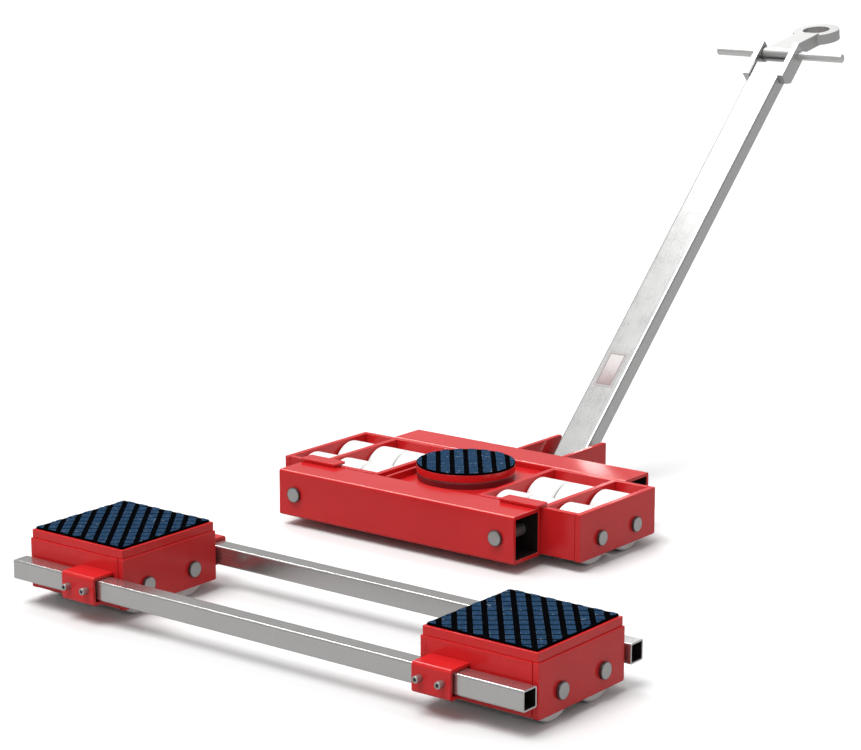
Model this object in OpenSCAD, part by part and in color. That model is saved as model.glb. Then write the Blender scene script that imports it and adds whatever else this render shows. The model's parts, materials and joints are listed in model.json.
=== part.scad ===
// Machine skate set: a steerable front skate with a drawbar, and a pair of
// rear skates that slide on two tie bars. Millimetres, +Z up, +Y towards the
// towing eye. The origin is the middle of the footprint, on the floor.

/* [Heights] */
// Height of the rubber pads above the floor
pad_top = 110; // [108:1:125]
// Clearance under the frames
ground_clear = 17; // [12:1:22]
// Thickness of the rear skates' rubber pads
pad_t = 4; // [3:1:6]
// Thickness of the rear skates' top plates
top_plate_t = 13; // [9:1:15]

/* [Rollers] */
// Diameter of every roller
roller_d = 90; // [84:1:92]
// Width of a roller of the front skate
front_roller_w = 52; // [48:1:53]
// Edge chamfer of a roller
roller_chamfer = 2.5; // [1:0.5:4]
// Diameter of the bearings pressed on the axles
bearing_d = 42; // [36:1:50]
// Width of a bearing
bearing_w = 12; // [8:1:14]
// Diameter of the axles
axle_d = 20; // [16:1:24]
// Diameter of the axle heads
axle_head_d = 24; // [24:1:30]
// Height of the axle heads
axle_head_h = 5; // [3:1:6]
// Diameter of a roller's bore between its two bearings
roller_bore_d = 28; // [26:1:34]
// Gap between the rollers on the two axles of a roller box
roller_gap = 6; // [2:1:12]

/* [Front skate] */
// Width over the outer side plates
front_width = 592; // [580:1:640]
// Width of one roller cassette
cassette_w = 197; // [194:1:204]
// Gap between the rollers and a cassette's front and back sheets
cassette_roller_gap = 1.5; // [1:0.5:5]
// Clear width of the outer, single roller bay
outer_bay_w = 58; // [55:1:60]
// Thickness of the cassette plates
plate_t = 10; // [8:1:10]
// Size of the chamfers on the lower plate corners
corner_cut = 2; // [1:1:14]
// Length of the two cross beams
beam_length = 470; // [450:1:480]
// Depth of the cross beams
beam_depth = 70; // [60:1:80]
// Wall of the cross beams
beam_wall = 6; // [4:1:8]
// Gap between a beam and the cassettes
beam_gap = 1; // [0.5:0.5:3]
// Sideways set of the front beam
front_beam_shift = -12; // [-14:1:10]
// Sideways set of the rear beam
rear_beam_shift = 2; // [-3:1:8]
// Distance from the end of a beam to its rocking pivot, before the beams' sideways sets
pivot_inset = 33; // [31:1:37]
// Diameter of the pivot pins
pivot_pin_d = 20; // [16:1:24]
// Diameter of the pivot pin heads
pivot_head_d = 25; // [25:1:30]
// Height of the pivot pin heads
pivot_head_h = 5; // [3:1:8]
// Length of a stop tab
tab_length = 74; // [50:1:90]
// Depth of a stop tab
tab_depth = 28; // [20:1:32]
// Depth of a stop tab's foot on the beam
tab_foot = 13; // [8:1:16]
// Thickness of a stop tab above the cassette
tab_t = 4.5; // [3:0.5:8]
// Air between a stop tab and the cassette
tab_gap = 1.8; // [1.8:0.1:3]

/* [Turntable] */
// Diameter of the turntable
disc_d = 160; // [140:1:160]
// Thickness of the round rubber pad
disc_pad_t = 4; // [3:1:6]
// Thickness of the turning disc
disc_t = 12; // [8:0.5:14]
// Height of the thrust bearing ring
race_t = 2.2; // [1.5:0.1:3]
// Height of the fixed base ring
base_ring_t = 9; // [6:1:14]
// Thickness of the bed plate between the beams
bed_t = 8; // [6:1:12]
// Gap between the bed plate and a cassette
bed_gap = 5; // [4:1:10]
// Diameter of the turntable's centre spigot
spigot_d = 40; // [30:1:60]
// Distance of the bed's stiffener from the middle
rail_offset = 77; // [74:1:84]
// Thickness of the bed's stiffener
rail_t = 5; // [3:1:8]
// Clearance of the bed's stiffener round the turntable
rail_clear = 4; // [3:1:6]
// How far the fixed base ring stands back from the disc's edge
base_ring_inset = 1; // [0.5:0.5:4]
// How far the thrust bearing ring stands back from the disc's edge
race_inset = 1.5; // [1:0.5:5]
// Bore of the thrust bearing ring
race_bore_d = 80; // [70:1:100]

/* [Drawbar] */
// Sideways set of the drawbar
drawbar_shift = 25.5; // [0:0.5:40]
// Width of the drawbar tube
drawbar_w = 60; // [50:1:60]
// Thickness of the drawbar tube
drawbar_t = 30; // [26:1:36]
// Wall of the drawbar tube
drawbar_wall = 3; // [2:0.5:5]
// Angle of the drawbar above the floor
drawbar_angle = 44; // [30:1:60]
// Distance from the pivot to the end of the tube
drawbar_reach = 892; // [700:1:900]
// How far the tube reaches behind its pivot
tube_tail = 30; // [24:1:34]
// How far the drawbar pivot lies below the middle of the frame
pivot_drop = 1; // [0:0.5:4]
// Clear width between the fork plates
fork_gap = 83; // [76:1:95]
// Thickness of the fork plates
fork_t = 8; // [6:1:12]
// How far the fork plates stand behind the rear beam
fork_reach = 118; // [115:1:140]
// Distance from the rear beam to the drawbar pivot
fork_pivot = 78.5; // [72:0.5:90]
// Diameter of the drawbar's pivot pin
fork_pin_d = 20; // [16:1:24]
// Diameter of the pivot pin's head
fork_pin_head_d = 26; // [26:1:32]
// Height of the pivot pin's head
fork_pin_head_h = 4; // [3:1:6]
// How far the pivot pin stands out on the other side
fork_pin_out = 6; // [4:1:12]
// Outer diameter of the pivot spacers
spacer_d = 30; // [28:1:31]
// Thickness of the two head plates
head_t = 12; // [6:1:14]
// Depth of the head plates, from the tube's underside up
head_depth = 35; // [32:1:50]
// Size of the chamfer on the head plates' lower corner
head_chamfer = 12; // [2:1:14]
// How far the head plates reach back along the tube
head_overlap = 33; // [24:1:60]
// Distance from the end of the tube to the handle rod
handle_gap = 33; // [30:1:60]
// How far the head plates reach past the handle rod
head_front = 14; // [12:1:40]
// Diameter of the handle rod
handle_d = 16; // [14:1:20]
// Length of the handle rod
handle_length = 260; // [200:1:320]
// Diameter of the towing eye's hole
eye_hole_d = 50; // [40:1:54]
// Outer diameter of the towing eye
eye_d = 86; // [82:1:100]
// Thickness of the towing eye's ring
eye_t = 19; // [14:1:22]
// Distance from the handle rod to the middle of the eye
eye_reach = 137; // [110:1:170]
// Angle of the towing eye above the floor
eye_angle = 10.5; // [0:0.5:45]
// How far the towing eye's middle plane lies above the handle rod
eye_rise = 2; // [0:0.5:3]
// Diameter of the towing eye's boss round the handle rod
eye_boss_d = 27; // [24:1:32]
// Gap between the towing eye's boss and a head plate
boss_gap = 1; // [0.5:0.5:3]
// Width of the shank between the boss and the ring
shank_w = 44; // [30:1:56]
// Thickness of the shank
shank_t = 23; // [22:1:26]
// Distance from the end of the shank to the edge of the eye's hole
shank_lip = 4; // [3:0.5:10]

/* [Rear pair] */
// Width of a rear skate
skate_w = 189; // [186:1:205]
// Gap between the rollers and a rear skate's front and back sheets
skate_roller_gap = 1; // [1:0.5:5]
// Thickness of the front and back sheets of a rear skate
skate_sheet_t = 4; // [3:0.5:4]
// Inset of the top plate from the skate's faces
top_plate_inset = 2.5; // [0:0.5:4]
// Inset of the rubber pad from the top plate's edge
pad_inset = 4; // [2:0.5:8]
// Width of a roller of the rear skates
rear_roller_w = 81; // [70:1:81]
// Distance between the middles of the two rear skates
skate_spacing = 727; // [600:1:740]
// Distance from the turntable's middle to the middle of the rear pair
pair_distance = 600; // [560:1:800]
// Sideways set of the rear pair
pair_shift = 184; // [150:1:190]
// Size of the square tie bars
bar_size = 29; // [25:1:32]
// Wall of the tie bars
bar_wall = 2.5; // [2:0.5:5]
// Length of the tie bars
bar_length = 918; // [900:1:1100]
// Height of the tie bars' lower face above the floor
bar_z = 38; // [36:1:42]
// Gap between a tie bar and the skates
bar_gap = 4.5; // [3:0.5:8]
// Sideways set of the far tie bar against the near one
far_bar_shift = 5; // [0:1:10]

/* [Clamps] */
// Length of a clamp bracket
clamp_length = 63; // [55:1:80]
// Plate thickness of a clamp bracket
clamp_t = 5; // [4:0.5:8]
// Inner radius of a clamp bracket's two bends
clamp_bend_r = 2; // [1:0.5:4]
// Distance from a skate's inner face to the middle of its clamp
clamp_inset = 50; // [42:1:90]
// Free play above a tie bar in its clamp
clamp_play_top = 0.5; // [0.3:0.1:1]
// Free play below a tie bar in its clamp
clamp_play_bottom = 2.5; // [1:0.5:4]
// Free play in front of a tie bar in its clamp
clamp_play_front = 2.7; // [1:0.1:4]
// Diameter of the clamp screws
screw_d = 10; // [8:1:12]
// Distance between the two screws of a clamp
screw_spacing = 36; // [24:1:42]
// How far a screw stands out of its clamp
screw_out = 13; // [8:1:16]
// Width across the flats of the screws' sockets
socket_w = 5; // [4:0.5:6]
// Depth of the screws' sockets
socket_depth = 6; // [4:0.5:7]

/* [Pad pattern] */
// Distance from groove to groove on the round pad
groove_pitch = 22.4; // [18:0.2:30]
// Distance from groove to groove on the rear skates' pads
rear_groove_pitch = 20; // [16:0.5:30]
// Width of a groove
groove_w = 7; // [4:0.5:9]
// Depth of a groove
groove_depth = 1.5; // [1:0.5:2]
// Direction of the grooves
groove_angle = 38; // [0:1:90]

/* [Hidden] */
// Radial clearance of everything that turns or passes through a bore
run_fit = 0.05;
// Clearance of parts that only seat on each other
seat_gap = 0.3;
// How far pins, axles and the spigot end short of the face that hides them
end_gap = 0.5;
// Depth by which a cut runs past the surface that it leaves
past = 1;
$fn = 64;
round_fn = 96;
hexagon = 6;
right_side = 1;
left_side = -1;
near_side = -1;
far_side = 1;

frame_top = pad_top - pad_t - top_plate_t;
frame_h = frame_top - ground_clear;
frame_mid = ground_clear + frame_h / 2;
axle_z = roller_d / 2;
axle_spacing = roller_d + roller_gap;

cassette_mid = front_width / 2 - cassette_w / 2;
cassette_depth = axle_spacing + roller_d + 2 * (cassette_roller_gap + plate_t);
inner_bay_w = cassette_w - outer_bay_w - 3 * plate_t;
beam_y = cassette_depth / 2 + beam_gap + beam_depth / 2;
beam_back = beam_y + beam_depth / 2;
pivot_end = cassette_depth / 2 - plate_t + end_gap;
pivot_spacing = beam_length - 2 * pivot_inset;

disc_bottom = pad_top - disc_pad_t - disc_t;
race_bottom = disc_bottom - seat_gap - race_t;
bed_top = race_bottom - base_ring_t;
bed_w = front_width - 2 * cassette_w - 2 * bed_gap;

fork_x = fork_gap / 2 + fork_t / 2;
pivot_y = beam_back + fork_pivot;
pivot_z = frame_mid - pivot_drop;
handle_reach = drawbar_reach + handle_gap;
head_start = drawbar_reach - head_overlap;
head_end = handle_reach + head_front;
handle_y = pivot_y + handle_reach * cos(drawbar_angle);
handle_z = pivot_z + handle_reach * sin(drawbar_angle);
boss_w = drawbar_w - 2 * boss_gap;
shank_end = eye_reach - eye_hole_d / 2 - shank_lip;
eye_edge = (eye_reach + eye_d / 2) * cos(eye_angle) + (eye_t / 2 - eye_rise) * sin(eye_angle);

skate_depth = axle_spacing + roller_d + 2 * (skate_roller_gap + skate_sheet_t);
bar_y = skate_depth / 2 + bar_gap + bar_size / 2;
bar_mid_z = bar_z + bar_size / 2;
clamp_front = bar_y + bar_size / 2 + clamp_play_front;
clamp_face = clamp_front + clamp_t;
screw_tip = bar_y + bar_size / 2 + seat_gap;
screw_end = clamp_face + screw_out;
skate_inside_w = skate_w - 2 * plate_t;
clamp_x = skate_w / 2 - clamp_inset;

// Extents of the whole set about the middle of the turntable
left_end = -front_width / 2 - axle_head_h;
right_end = pair_shift + skate_spacing / 2 + skate_w / 2 + axle_head_h;
near_end = -pair_distance - screw_end;
far_end = handle_y + eye_edge;
origin_x = (left_end + right_end) / 2;
origin_y = (near_end + far_end) / 2;

echo(turntable = [-origin_x, -origin_y, pad_top]);
echo(front_pivots = [front_beam_shift - pivot_spacing / 2 - origin_x,
                     front_beam_shift + pivot_spacing / 2 - origin_x, -origin_y, frame_mid]);
echo(cassette_mid_x = [-cassette_mid - origin_x, cassette_mid - origin_x], axle_y = axle_spacing / 2);
echo(drawbar_pivot = [drawbar_shift - origin_x, pivot_y - origin_y, pivot_z]);
echo(handle = [drawbar_shift - origin_x, handle_y - origin_y, handle_z]);
echo(skates = [pair_shift - skate_spacing / 2 - origin_x, pair_shift + skate_spacing / 2 - origin_x,
               -pair_distance - origin_y]);
echo(eye = [drawbar_shift - origin_x,
            handle_y + eye_reach * cos(eye_angle) - eye_rise * sin(eye_angle) - origin_y,
            handle_z + eye_reach * sin(eye_angle) + eye_rise * cos(eye_angle)]);

RED = "#d6252b";
DEEP_RED = "#8e1a20";
STEEL = "#b9bcbf";
NYLON = "#f4f5f2";
RUBBER = "#1d4a78";

SIDES = ["left", "right"];
CASSETTE_ROLLERS = 6;
SKATE_ROLLERS = 4;

function side_of(i) = i == 0 ? left_side : right_side;
function names(suffix, n) =
    [for (s = SIDES) for (i = [1:n]) str(s, suffix, i)];

// Moves a part of the front skate into the set's frame.
module in_front() {
    translate([-origin_x, -origin_y, 0]) children();
}

// Moves a part of one rear skate into the set's frame.
module in_skate(side) {
    translate([pair_shift + side * skate_spacing / 2 - origin_x, -pair_distance - origin_y, 0])
        children();
}

// A box centred on x and y that stands on z.
module block(w, d, h, at = [0, 0, 0]) {
    translate(at + [-w / 2, -d / 2, 0]) cube([w, d, h]);
}

// A round bar along +X that starts at a point.
module bar_x(d, length, at) {
    translate(at) rotate([0, 90, 0]) cylinder(d = d, h = length, $fn = round_fn);
}

// A round bar along +Y that starts at a point.
module bar_y_way(d, length, at) {
    translate(at) rotate([-90, 0, 0]) cylinder(d = d, h = length, $fn = round_fn);
}

// Outline of a side plate, seen along X, with both lower corners cut off.
module side_outline(depth) {
    polygon([[-depth / 2, frame_top], [depth / 2, frame_top],
             [depth / 2, ground_clear + corner_cut], [depth / 2 - corner_cut, ground_clear],
             [-depth / 2 + corner_cut, ground_clear], [-depth / 2, ground_clear + corner_cut]]);
}

// A side plate whose middle lies at x.
module side_plate(depth, x) {
    translate([x - plate_t / 2, 0, 0]) rotate([90, 0, 90])
        linear_extrude(plate_t) side_outline(depth);
}

// Bores for the two axles of a roller box.
module axle_bores(width) {
    for (y = [-axle_spacing / 2, axle_spacing / 2])
        bar_x(axle_d + 2 * run_fit, width + 2 * past, [-width / 2 - past, y, axle_z]);
}

// One roller with a recess for a bearing at each end.
module roller(width) {
    recess = bearing_w + seat_gap;
    rotate([0, 90, 0]) difference() {
        rotate_extrude($fn = round_fn)
            polygon([[0, -width / 2], [roller_d / 2 - roller_chamfer, -width / 2],
                     [roller_d / 2, -width / 2 + roller_chamfer],
                     [roller_d / 2, width / 2 - roller_chamfer],
                     [roller_d / 2 - roller_chamfer, width / 2], [0, width / 2]]);
        translate([0, 0, -width / 2 - past])
            cylinder(d = roller_bore_d, h = width + 2 * past, $fn = round_fn);
        for (m = [0, 1]) mirror([0, 0, m])
            translate([0, 0, width / 2 - recess])
                cylinder(d = bearing_d + 2 * run_fit, h = recess + past, $fn = round_fn);
    }
}

// The two bearings of one roller.
module roller_bearings(width) {
    for (end = [-1, 1])
        translate([end * (width - bearing_w) / 2, 0, 0]) rotate([0, 90, 0])
            difference() {
                cylinder(d = bearing_d, h = bearing_w, center = true, $fn = round_fn);
                cylinder(d = axle_d + 2 * run_fit, h = bearing_w + 2 * past, center = true,
                         $fn = round_fn);
            }
}

// The middles of the three roller places along a cassette's axle.
function cassette_place(k) =
    k == 0 ? cassette_w / 2 - plate_t - outer_bay_w / 2 :
    -cassette_w / 2 + plate_t + inner_bay_w / 2 + (k == 1 ? 1 : -1) * (inner_bay_w / 4);

// The middles of the two roller places along a rear skate's axle.
function skate_place(k) = (k == 0 ? 1 : -1) * skate_inside_w / 4;

function axle_side(j) = (j == 0 ? -1 : 1) * axle_spacing / 2;

module cassette_frame(side) {
    inner_plate_x = cassette_w / 2 - plate_t - outer_bay_w - plate_t / 2;
    color(RED) in_front() translate([side * cassette_mid, 0, 0]) difference() {
        union() {
            side_plate(cassette_depth, side * (cassette_w - plate_t) / 2);
            side_plate(cassette_depth, -side * (cassette_w - plate_t) / 2);
            block(plate_t, cassette_depth - plate_t, frame_h, [side * inner_plate_x, 0, ground_clear]);
            for (y = [-1, 1])
                block(cassette_w - plate_t, plate_t, frame_h - corner_cut,
                      [0, y * (cassette_depth - plate_t) / 2, ground_clear + corner_cut]);
        }
        axle_bores(cassette_w);
        for (y = [-1, 1])
            bar_y_way(pivot_pin_d + 2 * run_fit, plate_t + 2 * past,
                      [pivot_x(side) - side * cassette_mid,
                       y * (cassette_depth - plate_t) / 2 - plate_t / 2 - past, frame_mid]);
    }
}

function pivot_x(side) = front_beam_shift + side * pivot_spacing / 2;

module cassette_axles(side) {
    color(STEEL) in_front() translate([side * cassette_mid, 0, 0]) mirror([side < 0 ? 1 : 0, 0, 0])
        for (y = [-axle_spacing / 2, axle_spacing / 2]) {
            bar_x(axle_d, cassette_w - end_gap, [-cassette_w / 2 + end_gap, y, axle_z]);
            bar_x(axle_head_d, axle_head_h, [cassette_w / 2, y, axle_z]);
        }
}

module cassette_bearings(side) {
    color(STEEL) in_front() translate([side * cassette_mid, 0, axle_z])
        for (k = [0:2]) for (j = [0, 1])
            translate([side * cassette_place(k), axle_side(j), 0])
                roller_bearings(front_roller_w);
}

module cassette_roller(side, i) {
    color(NYLON) in_front() translate([side * cassette_mid, 0, axle_z])
        translate([side * cassette_place(i % 3), axle_side(floor(i / 3)), 0])
            roller(front_roller_w);
}

// One hollow cross beam with the holes for its two pivot pins.
module cross_beam(way, shift) {
    color(RED) in_front() difference() {
        block(beam_length, beam_depth, frame_h, [shift, way * beam_y, ground_clear]);
        block(beam_length + 2 * past, beam_depth - 2 * beam_wall, frame_h - 2 * beam_wall,
              [shift, way * beam_y, ground_clear + beam_wall]);
        for (side = [left_side, right_side])
            bar_y_way(pivot_pin_d + 2 * run_fit, beam_depth + 2 * past,
                      [pivot_x(side), way * beam_y - beam_depth / 2 - past, frame_mid]);
    }
}

module pivot_pins() {
    shank = beam_back - pivot_end;
    color(STEEL) in_front() for (way = [0, 1]) mirror([0, way, 0])
        for (side = [left_side, right_side]) {
            bar_y_way(pivot_pin_d, shank, [pivot_x(side), -beam_back, frame_mid]);
            bar_y_way(pivot_head_d, pivot_head_h,
                      [pivot_x(side), -beam_back - pivot_head_h, frame_mid]);
        }
}

// Two tabs on the front beam that reach over the cassettes and limit their rocking.
module stop_tabs() {
    beam_edge = -cassette_depth / 2 - beam_gap;
    color(RED) in_front() for (side = [left_side, right_side])
        translate([pivot_x(side), beam_edge - tab_foot, frame_top]) {
            translate([-tab_length / 2, 0, 0]) cube([tab_length, tab_foot, tab_gap + tab_t]);
            translate([-tab_length / 2, 0, tab_gap]) cube([tab_length, tab_depth, tab_t]);
        }
}

module turntable_bed() {
    bed_depth = cassette_depth + 2 * beam_gap;
    color(RED) in_front() difference() {
        union() {
            block(bed_w, bed_depth, bed_t, [0, 0, bed_top - bed_t]);
            block(rail_t, bed_depth, frame_top - bed_top + bed_t,
                  [-rail_offset - rail_t / 2, 0, bed_top - bed_t]);
        }
        translate([0, 0, bed_top])
            cylinder(d = disc_d + 2 * rail_clear, h = frame_top, $fn = round_fn);
        translate([0, 0, bed_top - bed_t - past])
            cylinder(d = spigot_d + 2 * run_fit, h = bed_t + 2 * past, $fn = round_fn);
    }
}

module turntable_base_ring() {
    color(DEEP_RED) in_front() translate([0, 0, bed_top]) difference() {
        cylinder(d = disc_d - 2 * base_ring_inset, h = base_ring_t, $fn = round_fn);
        translate([0, 0, -past])
            cylinder(d = spigot_d + 2 * run_fit, h = base_ring_t + 2 * past, $fn = round_fn);
    }
}

module turntable_race() {
    color(STEEL) in_front() translate([0, 0, race_bottom]) difference() {
        cylinder(d = disc_d - 2 * race_inset, h = race_t, $fn = round_fn);
        translate([0, 0, -past]) cylinder(d = race_bore_d, h = race_t + 2 * past, $fn = round_fn);
    }
}

module turntable_disc() {
    spigot_length = disc_bottom - bed_top + bed_t - end_gap;
    color(RED) in_front() translate([0, 0, disc_bottom]) {
        cylinder(d = disc_d, h = disc_t, $fn = round_fn);
        translate([0, 0, -spigot_length])
            cylinder(d = spigot_d, h = spigot_length + past, $fn = round_fn);
    }
}

// Parallel grooves across a pad. The first one lies at an offset from the middle.
module grooves(span, top, pitch, first) {
    count = ceil(span / pitch);
    rotate([0, 0, groove_angle]) for (i = [-count:count])
        translate([first + i * pitch - groove_w / 2, -span - past, top - groove_depth])
            cube([groove_w, 2 * (span + past), groove_depth + past]);
}

module turntable_pad() {
    color(RUBBER) in_front() difference() {
        translate([0, 0, pad_top - disc_pad_t]) cylinder(d = disc_d, h = disc_pad_t, $fn = round_fn);
        grooves(disc_d / 2, pad_top, groove_pitch, 0);
    }
}

module drawbar_fork() {
    color(RED) in_front() difference() {
        for (side = [left_side, right_side])
            block(fork_t, fork_reach, frame_h,
                  [drawbar_shift + side * fork_x, beam_back + fork_reach / 2, ground_clear]);
        bar_x(fork_pin_d + 2 * run_fit, fork_gap + 2 * fork_t + 2 * past,
              [drawbar_shift - fork_gap / 2 - fork_t - past, pivot_y, pivot_z]);
    }
}

module drawbar_pin() {
    length = fork_gap + 2 * fork_t + fork_pin_out;
    color(STEEL) in_front() translate([drawbar_shift, pivot_y, pivot_z]) {
        bar_x(fork_pin_d, length, [-fork_gap / 2 - fork_t - fork_pin_out, 0, 0]);
        bar_x(fork_pin_head_d, fork_pin_head_h, [fork_gap / 2 + fork_t, 0, 0]);
    }
}

// Turns a part of the drawbar from lying along +Y into its place.
module in_drawbar() {
    in_front() translate([drawbar_shift, pivot_y, pivot_z]) rotate([drawbar_angle, 0, 0])
        children();
}

module drawbar_tube() {
    length = drawbar_reach + tube_tail;
    mid = (drawbar_reach - tube_tail) / 2;
    color(STEEL) in_drawbar() difference() {
        block(drawbar_w, length, drawbar_t, [0, mid, -drawbar_t / 2]);
        block(drawbar_w - 2 * drawbar_wall, length + 2 * past, drawbar_t - 2 * drawbar_wall,
              [0, mid, -drawbar_t / 2 + drawbar_wall]);
        bar_x(fork_pin_d + 2 * run_fit, drawbar_w + 2 * past, [-drawbar_w / 2 - past, 0, 0]);
    }
}

module drawbar_spacers() {
    length = (fork_gap - drawbar_w) / 2 - seat_gap;
    color(STEEL) in_drawbar() difference() {
        for (m = [0, 1]) mirror([m, 0, 0]) bar_x(spacer_d, length, [drawbar_w / 2, 0, 0]);
        bar_x(fork_pin_d + 2 * run_fit, fork_gap, [-fork_gap / 2, 0, 0]);
    }
}

// Outline of a head plate, seen along X, with its lower corner cut off.
module head_outline() {
    low = -drawbar_t / 2;
    polygon([[head_start + head_chamfer, low], [head_end, low], [head_end, low + head_depth],
             [head_start, low + head_depth], [head_start, low + head_chamfer]]);
}

module drawbar_head_plates() {
    color(STEEL) in_drawbar() difference() {
        for (x = [-drawbar_w / 2 - head_t, drawbar_w / 2])
            translate([x, 0, 0]) rotate([90, 0, 90]) linear_extrude(head_t) head_outline();
        bar_x(handle_d + 2 * run_fit, handle_length, [-handle_length / 2, handle_reach, 0]);
    }
}

module handle_rod() {
    color(STEEL) in_drawbar()
        bar_x(handle_d, handle_length, [-handle_length / 2, handle_reach, 0]);
}

// A ring on a straight shank that runs into it, with a boss round the handle rod.
module towing_eye() {
    color(STEEL) in_front() translate([drawbar_shift, handle_y, handle_z])
        rotate([eye_angle, 0, 0]) difference() {
            union() {
                translate([0, eye_reach, eye_rise])
                    cylinder(d = eye_d, h = eye_t, center = true, $fn = round_fn);
                block(shank_w, shank_end, shank_t, [0, shank_end / 2, eye_rise - shank_t / 2]);
                bar_x(eye_boss_d, boss_w, [-boss_w / 2, 0, 0]);
            }
            translate([0, eye_reach, eye_rise])
                cylinder(d = eye_hole_d, h = shank_t + 2 * past, center = true, $fn = round_fn);
            bar_x(handle_d + 2 * run_fit, boss_w + 2 * past, [-boss_w / 2 - past, 0, 0]);
        }
}

module tie_bar(way, shift) {
    color(STEEL) translate([pair_shift - origin_x, -pair_distance - origin_y, 0]) difference() {
        block(bar_length, bar_size, bar_size, [shift, way * bar_y, bar_z]);
        block(bar_length + 2 * past, bar_size - 2 * bar_wall, bar_size - 2 * bar_wall,
              [shift, way * bar_y, bar_z + bar_wall]);
    }
}

module skate_body(side) {
    color(RED) in_skate(side) difference() {
        union() {
            for (x = [-1, 1]) side_plate(skate_depth, x * (skate_w - plate_t) / 2);
            for (y = [-1, 1])
                block(skate_w - plate_t, skate_sheet_t, frame_h - corner_cut,
                      [0, y * (skate_depth - skate_sheet_t) / 2, ground_clear + corner_cut]);
        }
        axle_bores(skate_w);
    }
}

module skate_top_plate(side) {
    color(RED) in_skate(side)
        block(skate_w - 2 * top_plate_inset, skate_depth - 2 * top_plate_inset, top_plate_t,
              [0, 0, frame_top]);
}

module skate_pad(side) {
    inset = top_plate_inset + pad_inset;
    color(RUBBER) in_skate(side) difference() {
        block(skate_w - 2 * inset, skate_depth - 2 * inset, pad_t, [0, 0, pad_top - pad_t]);
        grooves(skate_w, pad_top, rear_groove_pitch, rear_groove_pitch / 2);
    }
}

module skate_axles(side) {
    color(STEEL) in_skate(side) for (y = [-axle_spacing / 2, axle_spacing / 2]) {
        bar_x(axle_d, skate_w, [-skate_w / 2, y, axle_z]);
        bar_x(axle_head_d, axle_head_h, [skate_w / 2, y, axle_z]);
        bar_x(axle_head_d, axle_head_h, [-skate_w / 2 - axle_head_h, y, axle_z]);
    }
}

module skate_bearings(side) {
    color(STEEL) in_skate(side) for (k = [0, 1]) for (j = [0, 1])
        translate([skate_place(k), axle_side(j), axle_z]) roller_bearings(rear_roller_w);
}

module skate_roller(side, i) {
    color(NYLON) in_skate(side)
        translate([skate_place(i % 2), axle_side(floor(i / 2)), axle_z]) roller(rear_roller_w);
}

// A flat shape from a root line to a face, with both corners at the face rounded.
module round_faced(root, face, low, high, r) {
    translate([root, low]) square([face - r - root, high - low]);
    translate([root, low + r]) square([face - root, high - low - 2 * r]);
    for (z = [low + r, high - r]) translate([face - r, z]) circle(r = r);
}

// Bent plates that wrap the two tie bars and are welded to the skate.
module skate_clamps(side) {
    low = bar_z - clamp_play_bottom;
    high = bar_z + bar_size + clamp_play_top;
    root = skate_depth / 2;
    color(RED) in_skate(side) for (m = [0, 1]) mirror([0, m, 0])
        translate([-side * clamp_x, 0, 0]) difference() {
            translate([-clamp_length / 2, 0, 0]) rotate([90, 0, 90]) linear_extrude(clamp_length)
                difference() {
                    round_faced(root, clamp_face, low - clamp_t, high + clamp_t,
                                clamp_bend_r + clamp_t);
                    round_faced(root - past, clamp_front, low, high, clamp_bend_r);
                }
            for (x = [-1, 1])
                bar_y_way(screw_d + 2 * run_fit, clamp_t + 2 * past,
                          [x * screw_spacing / 2, clamp_front - past, bar_mid_z]);
        }
}

module clamp_screws(side, way) {
    color(STEEL) in_skate(side) mirror([0, way < 0 ? 1 : 0, 0])
        translate([-side * clamp_x, 0, bar_mid_z]) for (x = [-1, 1])
            translate([x * screw_spacing / 2, screw_tip, 0]) rotate([-90, 0, 0]) difference() {
                cylinder(d = screw_d, h = screw_end - screw_tip, $fn = round_fn);
                translate([0, 0, screw_end - screw_tip - socket_depth])
                    cylinder(d = socket_w / cos(180 / hexagon), h = socket_depth + past, $fn = hexagon);
            }
}

tie_bar(near_side, 0);  // near_tie_bar
tie_bar(far_side, far_bar_shift);  // far_tie_bar
for (s = [0, 1]) {
    skate = str(SIDES[s], "_skate_");
    skate_body(side_of(s));
    skate_top_plate(side_of(s));
    skate_pad(side_of(s));
    skate_clamps(side_of(s));
    skate_axles(side_of(s));
    skate_bearings(side_of(s));
    clamp_screws(side_of(s), near_side);
    clamp_screws(side_of(s), far_side);
    for (i = [0:SKATE_ROLLERS - 1])
        skate_roller(side_of(s), i);
}
cross_beam(near_side, front_beam_shift);  // front_beam
cross_beam(far_side, rear_beam_shift);  // rear_beam
turntable_bed();
stop_tabs();
pivot_pins();
drawbar_fork();
drawbar_pin();
turntable_base_ring();
turntable_race();
turntable_disc();
turntable_pad();
for (s = [0, 1]) {
    cassette = str(SIDES[s], "_cassette_");
    cassette_frame(side_of(s));
    cassette_axles(side_of(s));
    cassette_bearings(side_of(s));
    for (i = [0:CASSETTE_ROLLERS - 1])
        cassette_roller(side_of(s), i);
}
drawbar_tube();
drawbar_spacers();
drawbar_head_plates();
handle_rod();
towing_eye();
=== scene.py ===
"""Dresses the machine skate set in paint, steel, nylon and rubber, in a plain pale studio.

Sizes in the classes are millimetres. A finished piece's mesh is in metres, in the part's own frame.
"""

import json
import logging
import math
from dataclasses import dataclass
from enum import Enum
from typing import Mapping, Optional, Sequence, Union

import bmesh
import bpy
from mathutils import Matrix, Vector

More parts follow.
